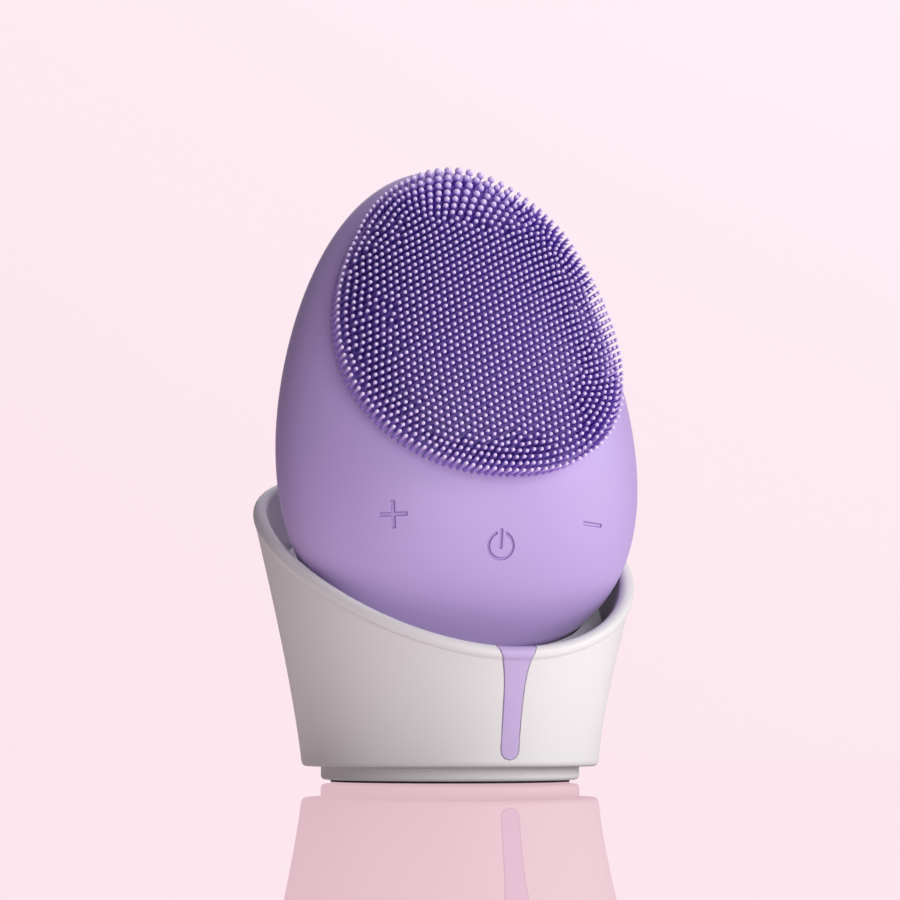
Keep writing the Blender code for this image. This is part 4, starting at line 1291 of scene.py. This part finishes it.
# %% The cradle
def cradle_sheet(angle, inset, drop):
    """Rings from the wall over the deck, round the pocket's edge and down to its bottom.

    The rounded edge is a curve with three handles: on the deck, at the corner, in the pocket.
    """
    outer = deck_edge(angle, DECK_THICKNESS)
    along = pocket_edge(angle, inset, drop)
    corner = around_egg(angle, along, inset)
    rings = []
    run = np.linalg.norm(outer[:, :2] - corner[:, :2], axis=-1)
    before = np.clip(POCKET_ROUNDING / run, 0, 0.5)
    for share in np.linspace(0, 1, 7):
        spot = outer + (corner - outer) * (share * (1 - before))[:, None]
        spot[:, 2] = deck_height(spot[:, 1]) - drop
        rings.append(spot)
    start = rings.pop()
    end = around_egg(angle, along - 0.02, inset)
    for t in np.linspace(0, 1, 8):
        rings.append((1 - t) ** 2 * start + 2 * t * (1 - t) * corner + t ** 2 * end)
    for share in np.linspace(0, 1, 16)[1:]:
        rings.append(around_egg(angle, (along - 0.02) * (1 - share) - 0.9985 * share, inset))
    return np.array(rings)


def make_cradle():
    """A sheet on top, and one under it that lies outside the pocket by the pocket's wall."""
    angle = np.linspace(0, 2 * math.pi, 180, endpoint=False)
    top_inset, under_inset = -POCKET_GAP, -(POCKET_GAP + POCKET_WALL)
    top = cradle_sheet(angle, top_inset, 0.0)
    under = cradle_sheet(angle, under_inset, DECK_THICKNESS)
    bottom = np.array([[0, 0, -1.0]])
    tips = [in_cup(egg_surface(bottom, inset)) for inset in (top_inset, under_inset)]
    points = np.concatenate([top.reshape(-1, 3), under.reshape(-1, 3), *tips])
    cradle = new_piece("cradle", points, tray_faces(*top.shape[:2]), white_shell,
                       "stand", "white_shell", ["cradle_insert"])
    sharpen(cradle, 60)


make_cradle()

# %% [markdown]
# ## The foot
# The foot is a plain turned part: a profile of radius and height, spun round the upright axis.

# %% The base cover
FOOT_COLUMNS = 160
FOOT_ROUNDING, FOOT_BREAK = 0.8 * MM, 0.2 * MM
RECESS_GAP, RECESS_DEPTH = 0.4 * MM, 0.7 * MM


def turned(profile):
    """Rings from a profile of (radius, height) pairs, spun round the upright axis."""
    radius, height = np.array(profile).T[:, :, None]
    angle = np.linspace(0, 2 * math.pi, FOOT_COLUMNS, endpoint=False)
    return np.stack([radius * np.cos(angle), radius * np.sin(angle), height + 0 * angle], axis=-1)


cover_low, cover_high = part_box("base_cover")
foot_radius = cover_high.x
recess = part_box("antislip_pad")[1].x + RECESS_GAP
foot_profile = [(foot_radius - FOOT_BREAK, cover_high.z), (foot_radius, cover_high.z - FOOT_BREAK)]
foot_profile += [(foot_radius - FOOT_ROUNDING * (1 - math.sin(turn)),
                  cover_low.z + FOOT_ROUNDING * (1 - math.cos(turn)))
                 for turn in np.radians(np.linspace(90, 0, 8))]
foot_profile += [(recess, cover_low.z), (recess, cover_low.z + RECESS_DEPTH)]
foot = make_bar("foot_cover", turned(foot_profile), white_shell, body="stand", slot="white_shell",
                stands_for=["base_cover"])
sharpen(foot, CRISP)

# %% [markdown]
# ## Camera
# The camera stands just above the floor, in front and to the left, and looks slightly up.

# %% Camera
CAMERA_AZIMUTH = math.radians(-22.3)
CAMERA_DISTANCE = 0.450
CAMERA_HEIGHT = 0.008
AIM = Vector((0.0, 0.0, 0.06285))
camera_data = bpy.data.cameras.new("camera")
camera_data.sensor_width = 36.0
camera_data.lens = 94.7
camera = bpy.data.objects.new("camera", camera_data)
camera.location = (CAMERA_DISTANCE * math.sin(CAMERA_AZIMUTH),
                   -CAMERA_DISTANCE * math.cos(CAMERA_AZIMUTH), CAMERA_HEIGHT)
camera.rotation_euler = (AIM - camera.location).to_track_quat("-Z", "Y").to_euler()
bpy.context.scene.collection.objects.link(camera)
bpy.context.scene.camera = camera
print("camera at", [round(value, 3) for value in camera.location])

# %% [markdown]
# ## Light
# Two large soft lamps in front and at the right light the egg and the cup.  A weaker one from
# behind draws a rim of light on the egg, and one overhead lifts the bristles' tips.

# %% Light
LAMP_DISTANCE = 0.9


def lamp(name, azimuth, elevation, size, power, colour):
    """A square area lamp that looks at the middle of the object and isn't seen itself."""
    data = bpy.data.lights.new(name, "AREA")
    data.size = size
    data.energy = power
    data.color = colour
    item = bpy.data.objects.new(name, data)
    a, e = math.radians(azimuth), math.radians(elevation)
    direction = Vector((math.cos(e) * math.sin(a), -math.cos(e) * math.cos(a), math.sin(e)))
    item.location = AIM + LAMP_DISTANCE * direction
    item.rotation_euler = (AIM - item.location).to_track_quat("-Z", "Y").to_euler()
    item.visible_camera = False
    bpy.context.scene.collection.objects.link(item)
    print(f"{name}: {power} W from {azimuth} degrees round and {elevation} up")


lamp("back_lamp", 158, 25, 0.6, 2.6, (1.0, 0.97, 0.99))
lamp("key_lamp", 6, 12, 0.5, 4.3, (1.0, 0.995, 0.985))
lamp("side_lamp", 62, 18, 0.5, 4.9, (1.0, 0.995, 0.985))
lamp("top_lamp", 150, 76, 0.6, 2.0, (1.0, 0.98, 0.99))

# %% [markdown]
# ## Surround and floor
# The object stands before an even pale pink, with its own faint mirror image below.  A real
# sweep of paper would throw pink on everything, so here what is seen and what gives light are
# told apart by the kind of ray: a straight look gets the pale pink, the mirror gets a bright
# room, and the object gets only a weak violet surround and a little of the floor's glow.

# %% Colours of the surround
BACKDROP = (0.985, 0.795, 0.860)
# The floor's far pinks, paler towards the right, front and up: painted light.
PALER = (1.0, 0.88, 0.94)
DEEPER = (0.973, 0.733, 0.80)
MIRRORED = (1.42, 1.60, 1.62)
MIRROR_SHARE = 0.225
MIRROR_NEAR = 0.36
MIRROR_FAR = 0.55
SURROUND = (0.105, 0.064, 0.15)
THROWN = (0.71, 0.60, 0.635)
FLAT_FROM, FLAT_TO = 0.80, 0.85
bpy.context.scene.view_settings.view_transform = "Standard"


def seen_plainly(tree):
    """1 where the camera looks straight, or by way of the mirror-like floor, and 0 elsewhere."""
    path = tree.nodes.new("ShaderNodeLightPath")
    either = tree.nodes.new("ShaderNodeMath")
    either.operation = "MAXIMUM"
    tree.links.new(path.outputs["Is Camera Ray"], either.inputs[0])
    tree.links.new(path.outputs["Is Singular Ray"], either.inputs[1])
    return path, either.outputs["Value"]


def math_node(tree, operation, first, second):
    """The sum, difference or product of two values, each a number or a node's output."""
    node = tree.nodes.new("ShaderNodeMath")
    node.operation = operation
    for socket, value in zip(node.inputs, (first, second)):
        if isinstance(value, float):
            socket.default_value = value
        else:
            tree.links.new(value, socket)
    return node.outputs["Value"]


def from_middle(tree, near, far, near_value, far_value):
    """A value that changes smoothly with the distance from the middle of the floor."""
    place = tree.nodes.new("ShaderNodeTexCoord")
    length = tree.nodes.new("ShaderNodeVectorMath")
    length.operation = "LENGTH"
    tree.links.new(place.outputs["Object"], length.inputs[0])
    return between(tree, length.outputs["Value"], near_value, far_value, near, far, smooth=True)


def grazing(tree):
    """1 where the floor is seen at a flat angle, 0 from more than 11 degrees above it."""
    facing = tree.nodes.new("ShaderNodeLayerWeight")
    facing.inputs["Blend"].default_value = 0.5
    return between(tree, facing.outputs["Facing"], 0.0, 1.0, FLAT_FROM, FLAT_TO, smooth=True)


# %% The surround
def make_surround():
    """A pale world where it is seen, a bright one in the mirror, and a weak one as light."""
    world = bpy.data.worlds.new("surround")
    world.use_nodes = True
    tree = world.node_tree
    path = tree.nodes.new("ShaderNodeLightPath")
    seen = colour_mix(tree, path.outputs["Is Camera Ray"], SURROUND, BACKDROP)
    tree.links.new(colour_mix(tree, path.outputs["Is Singular Ray"], seen, MIRRORED),
                   tree.nodes["Background"].inputs["Color"])
    bpy.context.scene.world = world


make_surround()
print("the surround lights with", SURROUND, "and is seen as", BACKDROP)

# %% [markdown]
# ## The floor
# The floor is a shallow bowl that runs up out of sight, so there is no horizon.  Near the
# middle it is a deeper pink under a faint mirror of a bright room, and the two add up to the
# backdrop's pink.  The mirror fades where the floor is far off or seen from high above.

# %% The floor's finish
PINK_RISES_ALONG = (0.55, -0.22, 0.8)
PINK_STARTS, PINK_ENDS = -0.9, 1.2


def far_pink_painted_light(tree):
    """Painted light on the floor: from the deeper pink to the paler one, along a direction to the right, front and
    up.
    """
    place = tree.nodes.new("ShaderNodeTexCoord")
    along = tree.nodes.new("ShaderNodeVectorMath")
    along.operation = "DOT_PRODUCT"
    along.inputs[1].default_value = PINK_RISES_ALONG
    tree.links.new(place.outputs["Object"], along.inputs[0])
    rising = between(tree, along.outputs["Value"], 0.0, 1.0, PINK_STARTS, PINK_ENDS)
    return colour_mix(tree, rising, DEEPER, PALER)


def glow_shader(tree, flat):
    """The pinks that are seen, and the weaker light that the floor throws on the object.

    It throws little from right beside the foot, most from a hand's breadth away, and little
    again from far off.  Where it is seen, its strength is 1.
    """
    path, plain = seen_plainly(tree)
    under_mirror = tuple((seen - MIRROR_SHARE * mirrored) / (1 - MIRROR_SHARE)
                         for seen, mirrored in zip(BACKDROP, MIRRORED))
    near = colour_mix(tree, flat, BACKDROP, under_mirror)
    away = from_middle(tree, MIRROR_NEAR, MIRROR_FAR, 0.0, 1.0)
    own = colour_mix(tree, away, near, far_pink_painted_light(tree))
    seen = colour_mix(tree, path.outputs["Is Singular Ray"], own, MIRRORED)
    glow = tree.nodes.new("ShaderNodeEmission")
    tree.links.new(colour_mix(tree, plain, THROWN, seen), glow.inputs["Color"])
    thrown = math_node(tree, "MULTIPLY", from_middle(tree, 0.025, 0.07, 0.5, 1.6),
                       from_middle(tree, 0.08, 0.30, 1.0, 0.10))
    unseen = math_node(tree, "MULTIPLY", thrown, math_node(tree, "SUBTRACT", 1.0, plain))
    tree.links.new(math_node(tree, "ADD", plain, unseen), glow.inputs["Strength"])
    return glow.outputs["Emission"], path


def make_floor_finish():
    """The glow under a sharp mirror, which only a straight look sees."""
    material = bpy.data.materials.new("floor_pink")
    material.use_nodes = True
    tree = material.node_tree
    tree.nodes.clear()
    flat = grazing(tree)
    glow, path = glow_shader(tree, flat)
    mirror = tree.nodes.new("ShaderNodeBsdfGlossy")
    mirror.inputs["Color"].default_value = (1.0, 1.0, 1.0, 1.0)
    mirror.inputs["Roughness"].default_value = 0.0
    seen_share = math_node(tree, "MULTIPLY", path.outputs["Is Camera Ray"],
                           from_middle(tree, MIRROR_NEAR, MIRROR_FAR, MIRROR_SHARE, 0.0))
    mix = tree.nodes.new("ShaderNodeMixShader")
    tree.links.new(math_node(tree, "MULTIPLY", seen_share, flat), mix.inputs["Fac"])
    tree.links.new(glow, mix.inputs[1])
    tree.links.new(mirror.outputs["BSDF"], mix.inputs[2])
    output = tree.nodes.new("ShaderNodeOutputMaterial")
    tree.links.new(mix.outputs["Shader"], output.inputs["Surface"])
    return material


# %% The floor
FLOOR_COLUMNS = 96
BOWL_START, BOWL_RISE = 0.9, 0.35


def make_floor():
    """A bowl: flat near the object, then rising with the square of the distance."""
    radius = np.concatenate([np.linspace(0.02, 0.6, 12), np.linspace(0.7, 4.0, 34)])[:, None]
    angle = np.linspace(0, 2 * math.pi, FLOOR_COLUMNS, endpoint=False)
    height = BOWL_RISE * np.maximum(radius - BOWL_START, 0) ** 2
    rings = np.stack([radius * np.cos(angle), radius * np.sin(angle), height + 0 * angle], axis=-1)
    points = np.concatenate([rings.reshape(-1, 3), [[0.0, 0.0, 0.0]]])
    faces = np.concatenate([grid_faces(len(radius), FLOOR_COLUMNS, wrap_columns=True),
                            fan_faces(np.arange(FLOOR_COLUMNS), len(points) - 1, True)])
    new_piece("floor", points, faces, make_floor_finish())


make_floor()
